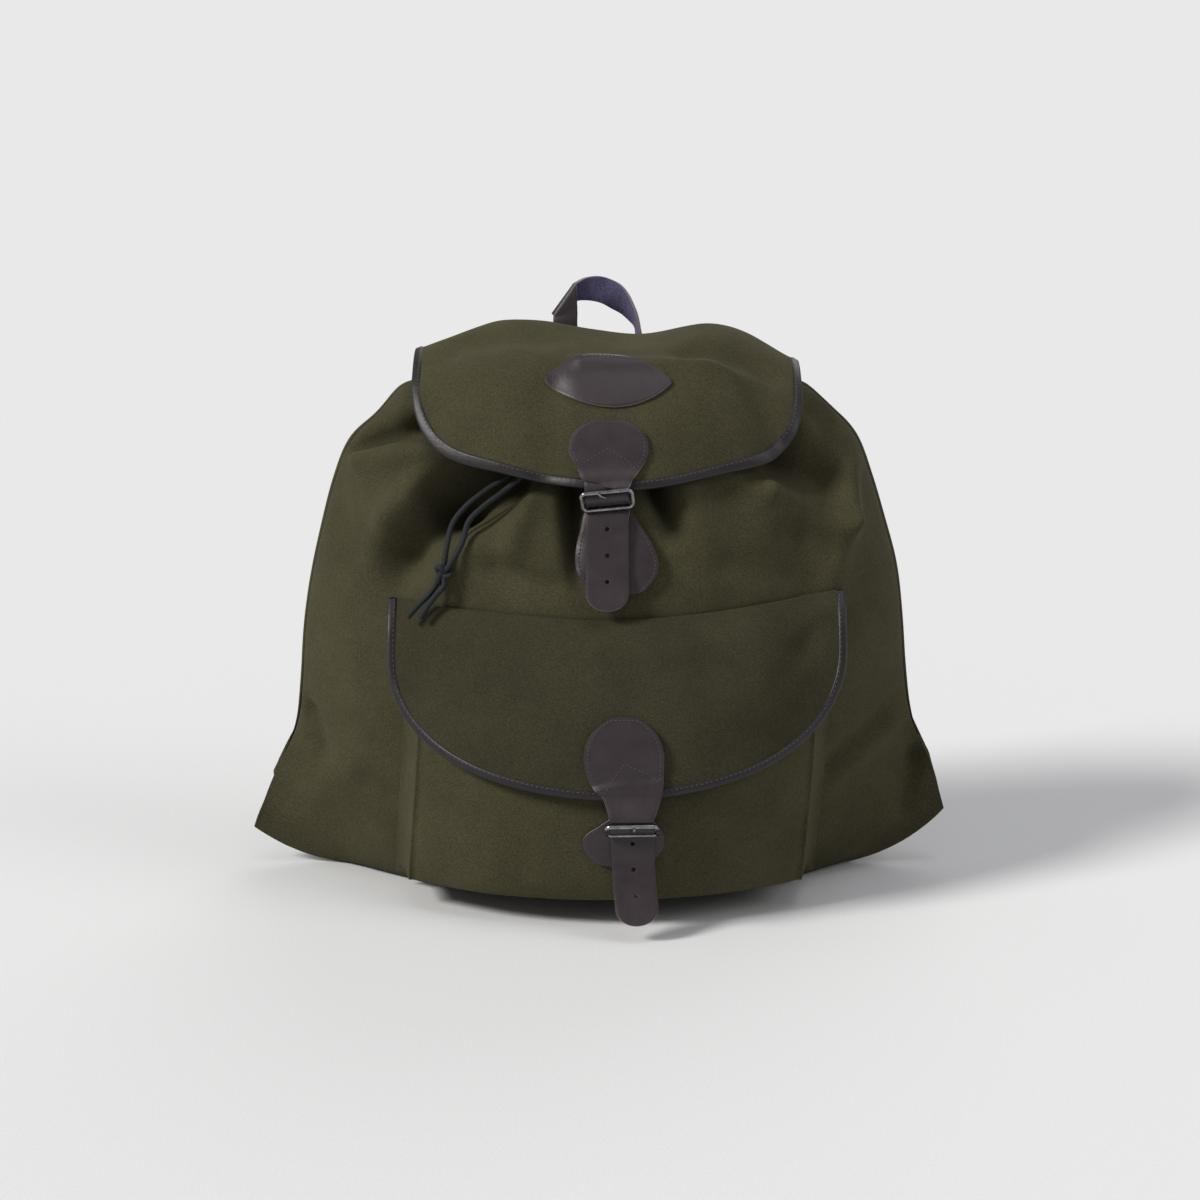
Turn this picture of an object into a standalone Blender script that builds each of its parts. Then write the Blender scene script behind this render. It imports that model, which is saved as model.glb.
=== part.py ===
"""A drawstring hunting rucksack in loden cloth with leather trim, standing on the floor.

Metres, +Z up. The front of the bag looks along -Y and the origin is on the floor under the bag.
Lengths in the tables are millimetres as the maker would give them, and MM turns them into metres.
"""

import math
from collections import namedtuple

import bmesh
import bpy
from mathutils import Matrix, Vector

MM = 0.001

# Driving dimensions, in millimetres
CLOTH = 2.0
LEATHER = 1.5
STRAP_LEATHER = 2.0
SEAM_GAP = 0.9
FIT_GAP = 0.4
BINDING_WIDTH = 6.0
BINDING_LEATHER = 1.2
STRAP_WIDTH = 30.0
HOLE_PITCH = 18.5
HOLE_DIAMETER = 3.2
TIP_TO_HOLE = 21.0
BUCKLE_BARS_APART = 15.0
BUCKLE_INSIDE_WIDTH = 32.6
BUCKLE_WIRE = 3.0
CENTRE_BAR_WIRE = 2.6
CENTRE_BAR_SET_BACK = 4.0
PRONG_WIRE = 2.0
PRONG_SLOT_HALF = 2.4
CORD_DIAMETER = 4.2
SHOULDER_STRAP_WIDTH = 38.0
SHOULDER_STRAP_THICKNESS = 3.0

# Grid steps of the main cloth pieces
FRONT_COLUMNS, FRONT_ROWS = 32, 21
BACK_COLUMNS, BACK_ROWS = 18, 14
TOP_FLAP_COLUMNS, TOP_FLAP_ROWS = 20, 13
POCKET_FLAP_COLUMNS, POCKET_FLAP_ROWS = 16, 8
POCKET_COLUMNS, POCKET_RUNS = 10, 7

# The sack is two panels sewn together round the sides and the bottom. A row is one section from side
# seam to side seam: where both seams are, where the middle of each panel is, how round the section is
# (1 or more is flat like a pillow's corner, 0.5 is an ellipse) and how late it lifts to the seam.
SackRow = namedtuple(
    "SackRow",
    "left_x left_z right_x right_z seam_y front_y front_z back_y back_z flatness back_flatness lift",
)
SACK_ROWS = (
    SackRow(-263, 27, 257, 42, 2, -10, -6, -10, -6, 1.5, 1.5, 6.0),
    SackRow(-250, 62, 247, 76, 4, -62, -5, 30, -5, 1.2, 1.1, 5.0),
    SackRow(-238, 87, 236, 99, 6, -90, 5, 49, 6, 1.0, 0.85, 4.0),
    SackRow(-229, 110, 229, 122, 8, -103, 27, 57, 28, 0.85, 0.7, 3.2),
    SackRow(-225, 141, 225, 152, 10, -107, 62, 60, 70, 0.75, 0.6, 3.0),
    SackRow(-222, 181, 222, 190, 12, -109, 107, 60, 115, 0.68, 0.52, 3.0),
    SackRow(-216, 220, 217, 228, 13, -110, 152, 59, 160, 0.62, 0.48, 3.0),
    SackRow(-207, 259, 207, 264, 14, -107, 197, 57, 205, 0.58, 0.45, 3.0),
    SackRow(-198, 292, 197, 296, 15, -101, 236, 55, 245, 0.55, 0.42, 3.0),
    SackRow(-186, 321, 186, 324, 15, -91, 270, 53, 280, 0.52, 0.4, 3.0),
    SackRow(-166, 341, 168, 345, 14, -79, 301, 51, 312, 0.52, 0.38, 3.0),
    SackRow(-147, 361, 148, 362, 10, -67, 331, 49, 346, 0.52, 0.36, 3.0),
    SackRow(-124, 371, 127, 371, 5, -57, 360, 46, 378, 0.52, 0.34, 3.0),
)
BACK_SIDE_BULGE = 4.0

# A fold runs straight from its start to its end, as seen from the front. A height above zero is a
# ridge, one below zero a hollow, and the width is where it has fallen to about a third.
Fold = namedtuple("Fold", "start_x start_z end_x end_z start_height end_height start_width end_width")
FRONT_FOLDS = (
    Fold(-76, 316, -112, 288, -46, -35, 18, 16),
    Fold(-112, 288, -145, 248, -24, -12, 14, 13),
    Fold(-145, 248, -150, 238, -7, -1, 12, 10),
    Fold(-112, 322, -150, 276, 5, 9, 9, 12),
    Fold(-150, 276, -172, 236, 7, 1, 12, 12),
    Fold(-50, 308, -64, 262, 12, 6, 8, 9),
    Fold(-92, 266, -112, 241, 7, 5.1, 11, 14),
    Fold(-19, 310, -16, 240, -26, -8, 8, 9),
    Fold(35, 310, 48, 268, -30, -4, 8, 7),
    Fold(60, 300, 76, 240, 7, 2, 12, 20),
    Fold(80, 322, 118, 296, 7, 10, 9, 7),
    Fold(118, 296, 163, 268, 10, 4, 6, 8),
    Fold(124, 330, 164, 304, -38, -22, 18, 13),
    Fold(138, 266, 146, 222, -7, -2, 11, 13),
    Fold(177, 306, 175, 268, 11, 11, 8, 8),
    Fold(175, 268, 165, 222, 9, 3, 8, 10),
    Fold(-184, 322, -126, 344, -12, -24, 6, 9),
    Fold(-176, 312, -130, 326, 7, 5, 8, 8),
    Fold(-196, 290, -182, 250, -4, -4, 10, 12),
    Fold(150, 352, 163, 338, -7, -4, 6, 6),
    Fold(166, 92, 214, 124, -9, -7, 6, 7),
    Fold(170, 82, 216, 112, 5, 4, 7, 7),
    Fold(-220, 120, -208, 94, -9, -5, 6, 6),
    Fold(-176, 78, -150, 70, -4, -4, 6, 6),
    Fold(-215, 60, -172, 108, 3, 3, 12, 14),
    Fold(234, 84, 226, 46, -5, -3, 9, 9),
    Fold(-76, 247, -36, 236, -6, -5, 7, 7),
    Fold(90, 250, 128, 238, -3, -3, 10, 10),
)
BACK_FOLDS = (
    Fold(-60, 330, -70, 250, -4, -2, 20, 24),
    Fold(55, 330, 62, 240, -4, -2, 20, 24),
    Fold(0, 110, 0, 60, 3, 3, 60, 60),
    Fold(-170, 300, -185, 200, -3, -2, 18, 18),
    Fold(165, 300, 185, 190, -3, -2, 18, 18),
)
GATHER_PITCH, GATHER_DEPTH, GATHER_START_Z, GATHER_RISE = 37.0, 4.5, 305.0, 50.0

# A flap is a sheet hinged along its top edge. A section gives where the sheet runs, from the hinge
# down to the hem, at one place across it: y and z after each length of cloth in the run.
FlapSection = namedtuple(
    "FlapSection",
    "x hinge_y hinge_z ridge_y ridge_z crown_y crown_z crest_y crest_z face_y face_z hem_y hem_z",
)
FLAP_STATIONS = ("hinge", "ridge", "crown", "crest", "face", "hem")
HINGE_SHARE = (1.0, 0.7, 0.35, 0.0, 0.0, 0.0)
TOP_FLAP_RUN = (0.0, 26.0, 80.0, 124.0, 171.0, 219.0)
TOP_FLAP_SECTIONS = (
    FlapSection(-138, 34, 368, 26, 386, -14, 372, -40, 342, -58, 300, -69, 250),
    FlapSection(-69, 48.7, 370, 43, 404, -6, 400, -44, 384, -70, 346, -85.5, 296.5),
    FlapSection(27, 52.4, 370, 45, 394, -6, 394, -47, 385, -78, 351, -99.5, 303.5),
    FlapSection(87, 48.5, 370, 43, 402, -6, 397, -44, 379, -68, 339, -81.5, 288.5),
    FlapSection(144, 34, 362, 26, 377, -14, 364, -42, 334, -60, 292, -71, 242),
)
POCKET_FLAP_RUN = (0.0, 10.0, 18.0, 34.0, 80.0, 133.0)
POCKET_FLAP_SECTIONS = (
    FlapSection(-147, -68, 220, -74, 214, -79, 208, -86, 195, -100, 152, -109, 99),
    FlapSection(-75, -96, 217, -104, 212, -111, 206, -121, 194, -140, 154, -150, 101),
    FlapSection(10, -108, 214, -116, 209, -123, 203, -133, 191, -152, 151, -162, 98),
    FlapSection(95, -98, 219, -105, 214, -112, 208, -121, 196, -140, 156, -150, 103),
    FlapSection(167, -64, 225, -70, 219, -75, 213, -83, 200, -99, 158, -109, 104),
)
# The outline of a flap: straight down its sides, then round to the hem as a superellipse.
FlapOutline = namedtuple("FlapOutline", "left right side_run hem_run roundness")
TOP_FLAP_OUTLINE = FlapOutline(-138.0, 144.0, 84.0, 219.0, 2.2)
POCKET_FLAP_OUTLINE = FlapOutline(-153.5, 173.5, 40.0, 133.0, 2.7)
# Folds of the top flap, placed across it and down its run.
TOP_FLAP_FOLDS = (
    Fold(-14, 126, 92, 119, 2.0, 2.0, 9, 9),
    Fold(60, 103, 112, 90, -4, -5, 15, 18),
    Fold(96, 108, 124, 150, -2, -2, 12, 14),
    Fold(-98, 69, -40, 86, -3, -3, 20, 20),
    Fold(-36, 170, -40, 206, -2.5, -2.5, 12, 12),
    Fold(118, 119, 132, 144, -2, -2, 14, 14),
)
POCKET_FLAP_FOLDS = (Fold(-70, 50, 70, 48, -1.5, -1.5, 20, 20), Fold(150, 32, 118, 72, -2.5, -1, 9, 9))

# The pocket: the places of its front face down its height, at the middle and near its sides.
PocketRow = namedtuple("PocketRow", "z middle_y side_y left_x right_x")
POCKET_ROWS = (
    PocketRow(20, -149, -103, -140, 143),
    PocketRow(34, -154, -108, -139, 144),
    PocketRow(60, -155, -108, -137, 146),
    PocketRow(97, -154, -106, -134, 149),
    PocketRow(150, -146, -98, -131, 152),
    PocketRow(190, -126, -78, -131, 153),
)
GUSSET_OUT = 12.0
POCKET_FLOOR_Z = 12.0
LEAST_POCKET_DEPTH = 8.0
POCKET_SIDES = ((0.0, 0.0), (0.35, 0.42), (0.75, 0.87), (1.0, 1.0))

# A closure is a tab sewn to a flap, which tapers to a strap and runs through a buckle. The outline of
# the tab is its half width after each part of the way from its top to its neck at the buckle.
TAB_PARTS = (0.0, 0.035, 0.08, 0.15, 0.23, 0.33, 0.43, 0.54, 0.68, 0.84, 1.0)
TAB_HALF_WIDTHS = (4.5, 11.0, 16.5, 21.8, 25.2, 27.3, 27.9, 26.6, 23.0, 18.6, 15.1)
TIP_LENGTH = 14.0
TAB_LEAVES_HEM = 3.0
# slope is the lean of the buckle's face, 90 for upright and more with its top bar out; roll turns it.
Buckle = namedtuple("Buckle", "x y z slope roll prong_slant")
TOP_BUCKLE = Buckle(3.0, -101.5, 297.5, 118.0, 7.0, -5.5)
POCKET_BUCKLE = Buckle(20.0, -168.5, 78.0, 140.0, 2.0, 2.0)
# Each station of a closure is a place on the middle of the strap's thickness.
Station = namedtuple("Station", "x y z")
TOP_TAIL = (
    Station(3.0, -97.0, 285.0),
    Station(3.0, -101.5, 270.0),
    Station(3.0, -107.0, 250.0),
    Station(3.0, -113.5, 234.0),
    Station(3.0, -119.5, 222.5),
)
POCKET_TAIL = (
    Station(20.5, -160.0, 67.0),
    Station(21.0, -161.5, 53.0),
    Station(22.0, -166.0, 38.0),
    Station(23.5, -173.0, 24.0),
    Station(24.5, -180.0, 13.0),
)
# The leather under a buckle is a teardrop sewn to the cloth, whose neck wraps the centre bar.
BaseRow = namedtuple("BaseRow", "x z half_width")
TOP_BASE = (
    BaseRow(10, 231, 6),
    BaseRow(10, 234, 17),
    BaseRow(10, 241, 25),
    BaseRow(10, 252, 29),
    BaseRow(8, 266, 26),
    BaseRow(6, 277, 21),
    BaseRow(4, 286, 17),
    BaseRow(3, 293, 12),
)
POCKET_BASE = (
    BaseRow(14, 48, 6),
    BaseRow(14, 50, 15),
    BaseRow(14, 55, 23),
    BaseRow(14, 63, 28),
    BaseRow(15, 71, 27),
    BaseRow(18, 78, 20),
    BaseRow(19, 83, 14),
)
NECK_HALF_WIDTH = 11.0
Closure = namedtuple("Closure", "buckle tab_x tab_length tail base")
TOP_CLOSURE = Closure(TOP_BUCKLE, 4.0, 46.0, TOP_TAIL, TOP_BASE)
POCKET_CLOSURE = Closure(POCKET_BUCKLE, 14.5, 57.0, POCKET_TAIL, POCKET_BASE)

# The bare patch on the top flap: a leaf shape, sewn on.
PatchOutline = namedtuple("PatchOutline", "x run half_length half_height")
TOP_PATCH = PatchOutline(3.5, 142.0, 44.5, 21.0)

# The carrying handle is a leather strap. It lies flat where its left end is sewn on, folds back over
# itself on a slant, arches to the right and turns edge on at its right end. A row is one line across it.
HandleRow = namedtuple("HandleRow", "left_x left_y left_z right_x right_y right_z")
HANDLE_ROWS = (
    HandleRow(-37, 52.7, 374, -18, 52.9, 374),
    HandleRow(-37, 53.8, 399, -19, 53.8, 399),
    HandleRow(-37, 56, 405, -19, 56, 412),
    HandleRow(-36.5, 57, 407, -20, 57, 429),
    HandleRow(-37.5, 60.5, 408, -21.5, 60.5, 430),
    HandleRow(-34, 64, 409, -18, 64, 432),
    HandleRow(-27, 66.5, 414, -13.5, 66.5, 434),
    HandleRow(-19, 68, 417, -8, 68, 435),
    HandleRow(-10, 69, 417, -2, 69, 435),
    HandleRow(-1.5, 70, 415, 5, 70, 433),
    HandleRow(6, 72.5, 411, 13, 66.5, 429),
    HandleRow(13.5, 74.5, 407, 18.5, 63, 422.5),
    HandleRow(19.5, 75.5, 402, 22.5, 60, 414.5),
    HandleRow(24, 75.5, 397, 25.5, 58, 406.5),
    HandleRow(25, 75, 391, 28, 56.5, 394),
    HandleRow(24, 72, 383, 29.5, 57.5, 386),
    HandleRow(20, 61, 375, 33, 56.5, 377),
    HandleRow(17.5, 54.2, 368.5, 36, 54.2, 368.5),
)

# The drawcord hangs out of the mouth's hem on the left: two strands to a knot, then two tails.
CORD_STRAND_LEFT = (
    Station(-56, -60, 323),
    Station(-65, -66, 310),
    Station(-81, -70, 300),
    Station(-96, -75, 289),
    Station(-106, -80, 277),
    Station(-110, -87, 262),
    Station(-111.9, -91.3, 249.8),
)
CORD_STRAND_RIGHT = (
    Station(-49.5, -69.3, 323),
    Station(-57, -71.8, 310),
    Station(-70, -74, 299),
    Station(-84, -78, 289),
    Station(-94.5, -83, 279),
    Station(-99.5, -89, 264),
    Station(-108.6, -94.2, 248.9),
)
CORD_KNOT = Station(-113, -92, 243)
CORD_TAIL_LEFT = (
    Station(-116.5, -90.7, 236.5),
    Station(-123, -92, 228),
    Station(-131, -93, 220),
    Station(-138, -94, 212),
)
CORD_TAIL_RIGHT = (
    Station(-112.0, -94.9, 235.4),
    Station(-118, -95, 228),
    Station(-124, -96, 220),
    Station(-129, -97, 212),
)
KNOT_LENGTH, KNOT_WIDTH = 13.0, 12.4

# Each shoulder strap bows off the back from the top anchor to the bottom corner.
SHOULDER_STRAP = (
    Station(24, 52.2, 356),
    Station(30, 56.5, 338),
    Station(46, 78, 300),
    Station(68, 92, 245),
    Station(92, 95, 185),
    Station(116, 87, 125),
    Station(138, 68, 74),
    Station(152, 50.5, 46),
)


def smoothstep(t):
    t = min(max(t, 0.0), 1.0)
    return t * t * (3.0 - 2.0 * t)


def curve_through(knots, values):
    """A function that passes through each value at its knot, with no corner."""
    last = len(knots) - 1
    slopes = []
    for i in range(last + 1):
        before, after = max(i - 1, 0), min(i + 1, last)
        slopes.append((values[after] - values[before]) / (knots[after] - knots[before]))

    def at(t):
        i = 0
        while i < last - 1 and t > knots[i + 1]:
            i += 1
        span = knots[i + 1] - knots[i]
        r = min(max((t - knots[i]) / span, 0.0), 1.0)
        start = (1 + 2 * r) * (1 - r) ** 2 * values[i] + r * (1 - r) ** 2 * span * slopes[i]
        end = r * r * (3 - 2 * r) * values[i + 1] + r * r * (r - 1) * span * slopes[i + 1]
        return start + end

    return at


def column_curves(rows, knots):
    """One curve for each column of a table, named as the column is."""
    fields = rows[0]._fields
    return {f: curve_through(knots, [getattr(row, f) for row in rows]) for f in fields}


def fold_height(folds, x, z):
    """How far the folds raise the cloth at a place, in millimetres."""
    height = 0.0
    for f in folds:
        along_x, along_z = f.end_x - f.start_x, f.end_z - f.start_z
        t = ((x - f.start_x) * along_x + (z - f.start_z) * along_z) / (along_x**2 + along_z**2)
        t = min(max(t, 0.0), 1.0)
        width = f.start_width + (f.end_width - f.start_width) * t
        away = math.hypot(x - f.start_x - along_x * t, z - f.start_z - along_z * t) / width
        height += (f.start_height + (f.end_height - f.start_height) * t) * math.exp(-away * away)
    return height


SACK_KNOTS = [i / (len(SACK_ROWS) - 1) for i in range(len(SACK_ROWS))]
SACK = column_curves(SACK_ROWS, SACK_KNOTS)


def panel_base(side, across, up):
    """A place on the front (side -1) or back (side 1) panel before its folds, in millimetres.

    across goes from -1 at the left seam to 1 at the right one, up from 0 at the bottom seam to 1.
    """
    row = {name: curve(up) for name, curve in SACK.items()}
    u = math.sin(across * math.pi / 2)
    middle_y, middle_z = (row["front_y"], row["front_z"]) if side < 0 else (row["back_y"], row["back_z"])
    seam_x, seam_z = (row["left_x"], row["left_z"]) if across < 0 else (row["right_x"], row["right_z"])
    swell = max(1.0 - u * u, 0.0) ** row["flatness" if side < 0 else "back_flatness"]
    lift = abs(u) ** row["lift"]
    x = abs(u) * seam_x
    if side > 0:
        x += math.copysign(BACK_SIDE_BULGE * math.sin(math.pi * abs(across) ** 6) * smoothstep(up * 3), across)
    y = row["seam_y"] + (middle_y - row["seam_y"]) * swell
    z = middle_z + (seam_z - middle_z) * lift
    return Vector((x, y, max(z, 0.0)))


def panel_point(side, across, up):
    """A place on a panel's outside with its folds and its own thickness off the seam."""
    step = 0.004
    here = panel_base(side, across, up)
    low, high = max(up - step, 0.0), min(up + step, 1.0)
    left, right = max(across - step, -1.0), min(across + step, 1.0)
    rise = panel_base(side, across, high) - panel_base(side, across, low)
    run = panel_base(side, right, up) - panel_base(side, left, up)
    normal = rise.cross(run) * (1.0 if side > 0 else -1.0)
    normal = normal.normalized() if normal.length > 1e-9 else Vector((0.0, side, 0.0))
    folds = FRONT_FOLDS if side < 0 else BACK_FOLDS
    height = fold_height(folds, here.x, here.z)
    gathers = GATHER_DEPTH * smoothstep((here.z - GATHER_START_Z) / GATHER_RISE)
    height += gathers * (math.cos(2 * math.pi * here.x / GATHER_PITCH) - 1.0) / 2.0
    sewn = smoothstep((1.0 - abs(across)) / 0.14) * smoothstep(up / 0.12)
    off_seam = Vector((0.0, side * (SEAM_GAP / 2 + CLOTH * abs(normal.y)), 0.0))
    spot = here + normal * height * sewn + off_seam
    spot.z = max(spot.z, 0.0)
    return spot


def place_on_front(x, z):
    """The front panel's outside straight behind a place that is seen from the front."""
    across, up = x / 300.0, 0.25 + z / 560.0
    step = 0.002
    for _ in range(14):
        here = panel_point(-1, across, up)
        by_across = (panel_point(-1, min(across + step, 1.0), up) - here) / step
        by_up = (panel_point(-1, across, min(up + step, 1.0)) - here) / step
        det = by_across.x * by_up.z - by_across.z * by_up.x
        miss_x, miss_z = x - here.x, z - here.z
        across += max(-0.15, min(0.15, (miss_x * by_up.z - miss_z * by_up.x) / det))
        up += max(-0.1, min(0.1, (miss_z * by_across.x - miss_x * by_across.z) / det))
        across, up = min(max(across, -0.97), 0.97), min(max(up, 0.03), 0.99)
    return here


def flap_surface(sections, run, folds, hinge_y=None):
    """A function that gives the outside of a flap at a distance across it and down its run.

    Where hinge_y is given, the hinge lies there and the stations after it give way a little too.
    """
    xs = [s.x for s in sections]
    across = column_curves(sections, xs)

    def raw(x, r):
        held = min(max(x, xs[0]), xs[-1])
        ys = [across[name + "_y"](held) for name in FLAP_STATIONS]
        zs = [across[name + "_z"](held) for name in FLAP_STATIONS]
        if hinge_y:
            shift = hinge_y(held) - ys[0]
            ys = [y + shift * share for y, share in zip(ys, HINGE_SHARE)]
        return Vector((x, curve_through(run, ys)(r), curve_through(run, zs)(r)))

    def point_and_normal(x, r):
        step = 1.5
        normal = (raw(x, r - step) - raw(x, r + step)).cross(raw(x - step, r) - raw(x + step, r))
        normal.normalize()
        return raw(x, r) + normal * fold_height(folds, x, r), normal

    return point_and_normal


def outline_run(outline, x):
    """How far down its run a flap reaches at a distance across it."""
    middle, half = (outline.left + outline.right) / 2, (outline.right - outline.left) / 2
    part = min(abs(x - middle) / half, 1.0)
    curve = (1.0 - part**outline.roundness) ** (1.0 / outline.roundness)
    return outline.side_run + (outline.hem_run - outline.side_run) * curve


def principled(name, colour, roughness, metallic=0.0):
    material = bpy.data.materials.new(name)
    material.use_nodes = True
    shader = material.node_tree.nodes["Principled BSDF"]
    shader.inputs["Base Color"].default_value = (*colour, 1.0)
    shader.inputs["Roughness"].default_value = roughness
    shader.inputs["Metallic"].default_value = metallic
    return material


def new_collection(name):
    collection = bpy.data.collections.new(name)
    bpy.context.scene.collection.children.link(collection)
    return collection


def add_object(name, mesh, material, collection):
    mesh.materials.append(material)
    obj = bpy.data.objects.new(name, mesh)
    collection.objects.link(obj)
    return obj


def grid_mesh(name, columns, rows, point):
    """A sheet of quads through point(s, t), with s and t from 0 to 1, given in millimetres."""
    bm = bmesh.new()
    lattice = [
        [bm.verts.new(point(i / columns, j / rows) * MM) for i in range(columns + 1)]
        for j in range(rows + 1)
    ]
    for j in range(rows):
        for i in range(columns):
            a, b = lattice[j][i], lattice[j][i + 1]
            c, d = lattice[j + 1][i + 1], lattice[j + 1][i]
            bm.faces.new((a, b, c, d))
    mesh = bpy.data.meshes.new(name)
    bm.to_mesh(mesh)
    bm.free()
    mesh.shade_smooth()
    return mesh


def solidify(obj, thickness, offset):
    modifier = obj.modifiers.new("Thickness", "SOLIDIFY")
    modifier.thickness = thickness * MM
    modifier.offset = offset
    modifier.use_even_offset = False


def cut(obj, cutter):
    modifier = obj.modifiers.new("Cut", "BOOLEAN")
    modifier.operation = "DIFFERENCE"
    modifier.solver = "EXACT"
    modifier.object = cutter


def make_cutter(obj):
    obj.hide_render = True
    obj.display_type = "WIRE"


def panel_object(name, side, columns, rows, material, collection):
    mesh = grid_mesh(name, columns, rows, lambda s, t: panel_point(side, (2 * s - 1), t))
    obj = add_object(name, mesh, material, collection)
    if side > 0:
        mesh.flip_normals()
    solidify(obj, CLOTH, -1.0)
    return obj


def cord_points(stations, step):
    """Points along a smooth curve through the stations, one for each step of its length."""
    knots, place_at = curve_through_points([Vector(station) for station in stations])
    count = max(int(round(knots[-1] / step)), 2)
    return [place_at(knots[-1] * i / count) for i in range(count + 1)]


def tube_object(name, points, diameter, resolution, material, collection, cyclic=False):
    """A round tube through points in millimetres, as a curve with a bevel and filled caps."""
    data = bpy.data.curves.new(name, "CURVE")
    data.dimensions = "3D"
    data.bevel_depth = diameter / 2 * MM
    data.bevel_resolution = resolution
    data.use_fill_caps = True
    spline = data.splines.new("POLY")
    spline.points.add(len(points) - 1)
    for spot, point in zip(spline.points, points):
        spot.co = (*(point * MM), 1.0)
    spline.use_cyclic_u = cyclic
    spline.use_smooth = True
    return add_object(name, data, material, collection)


def as_mesh(obj):
    """The same object as a mesh, its caps joined to its sides, with the curve removed."""
    graph = bpy.context.evaluated_depsgraph_get()
    mesh = bpy.data.meshes.new_from_object(obj.evaluated_get(graph))
    bm = bmesh.new()
    bm.from_mesh(mesh)
    bmesh.ops.remove_doubles(bm, verts=bm.verts, dist=0.01 * MM)
    bmesh.ops.recalc_face_normals(bm, faces=bm.faces)
    bm.to_mesh(mesh)
    bm.free()
    name, home, matrix = obj.name, obj.users_collection[0], obj.matrix_world.copy()
    bpy.data.objects.remove(obj)
    solid = bpy.data.objects.new(name, mesh)
    solid.matrix_world = matrix
    home.objects.link(solid)
    return solid


def unite(obj, other):
    modifier = obj.modifiers.new("Join", "BOOLEAN")
    modifier.operation = "UNION"
    modifier.solver = "EXACT"
    modifier.object = other
    make_cutter(other)


def path_frames(points):
    """The direction of travel at each point of a path."""
    last = len(points) - 1
    return [(points[min(i + 1, last)] - points[max(i - 1, 0)]).normalized() for i in range(last + 1)]


def square_to(way, direction):
    return (direction - way * way.dot(direction)).normalized()


def curve_through_points(points):
    """The lengths to each point and a function that gives the place after a length of the path."""
    knots = [0.0]
    for a, b in zip(points, points[1:]):
        knots.append(knots[-1] + (b - a).length)
    axes = [curve_through(knots, [p[i] for p in points]) for i in range(3)]
    return knots, lambda run: Vector([axis(run) for axis in axes])


def ribbon_object(name, points, half_widths, sides, columns, thickness, material, collection):
    """A flat strap of even thickness: its middle, half widths and width directions at each point."""
    count = len(points) - 1

    def place(s, t):
        i = round(t * count)
        return points[i] + sides[i] * half_widths[i] * (2 * s - 1)

    obj = add_object(name, grid_mesh(name, columns, count, place), material, collection)
    solidify(obj, thickness, 0.0)
    return obj


def loft_object(name, sections, material, collection):
    """A closed body through sections of as many points each, with a cap at each end."""
    bm = bmesh.new()
    rings = [[bm.verts.new(p * MM) for p in section] for section in sections]
    count = len(rings[0])
    for near, far in zip(rings, rings[1:]):
        for i in range(count):
            j = (i + 1) % count
            bm.faces.new((near[i], near[j], far[j], far[i]))
    bm.faces.new(reversed(rings[0]))
    bm.faces.new(rings[-1])
    bmesh.ops.recalc_face_normals(bm, faces=bm.faces)
    mesh = bpy.data.meshes.new(name)
    bm.to_mesh(mesh)
    bm.free()
    mesh.shade_smooth()
    return add_object(name, mesh, material, collection)


def inset(outline, distance):
    return outline._replace(
        left=outline.left + distance,
        right=outline.right - distance,
        hem_run=outline.hem_run - distance,
    )


def place_across(outline, s):
    """The distance across a flap at a share s of its columns, closer together towards its sides."""
    middle, half = (outline.left + outline.right) / 2, (outline.right - outline.left) / 2
    return middle + half * math.sin((2 * s - 1) * math.pi / 2)


def flap_object(name, surface, outline, columns, rows, material, collection):
    """The cloth of a flap, as far as its binding."""
    cloth = inset(outline, BINDING_WIDTH + 1.5 * FIT_GAP)

    def place(s, t):
        x = place_across(cloth, s)
        return surface(x, t * outline_run(cloth, x))[0]

    mesh = grid_mesh(name, columns, rows, place)
    mesh.flip_normals()
    obj = add_object(name, mesh, material, collection)
    solidify(obj, CLOTH, -1.0)
    return obj


def edge_places(outline, columns, rows):
    """Places down a flap's left side, round its hem and up its right side."""
    side_runs = [outline.side_run * j / rows for j in range(rows)]
    hem = [place_across(outline, i / columns) for i in range(columns + 1)]
    places = [(outline.left, run) for run in side_runs]
    places += [(x, outline_run(outline, x)) for x in hem]
    return places + [(outline.right, run) for run in reversed(side_runs)]


def binding_object(name, surface, outline, columns, rows, material, collection):
    """Leather folded round the free edge of a flap. The cloth's edge inside it is part of this body."""
    half = CLOTH / 2 + BINDING_LEATHER
    section = ((0.0, half), (0.8, half), (1.0, half / 2), (1.0, -half / 2), (0.8, -half), (0.0, -half))
    inner = edge_places(inset(outline, BINDING_WIDTH), columns, rows)
    outer = edge_places(outline, columns, rows)
    sections = []
    for (x_in, run_in), (x_out, run_out) in zip(inner, outer):
        spot_in, normal_in = surface(x_in, run_in)
        spot_out, normal_out = surface(x_out, run_out)
        ring = []
        for share, off in section:
            normal = normal_in.lerp(normal_out, share)
            ring.append(spot_in.lerp(spot_out, share) + normal * (off - CLOTH / 2))
        sections.append(ring)
    return loft_object(name, sections, material, collection)


def pocket_front_y():
    """A function that gives the front of the pocket at a place seen from the front."""
    curves = column_curves(POCKET_ROWS, [row.z for row in POCKET_ROWS])

    def at(x, z):
        left, right = curves["left_x"](z), curves["right_x"](z)
        part = min(abs(x - (left + right) / 2) / ((right - left) / 2), 1.0)
        middle, side = curves["middle_y"](z), curves["side_y"](z)
        return middle + (side - middle) * part**2.2

    return at, curves


def clear_of(surface_y, x, z, reach):
    """The most forward y of a surface within reach of a place, seen from the front."""
    steps = (-reach, 0.0, reach)
    return min(surface_y(x + dx, z + dz) for dx in steps for dz in steps)


def sack_front_y(x, z):
    return place_on_front(x, z).y


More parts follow.
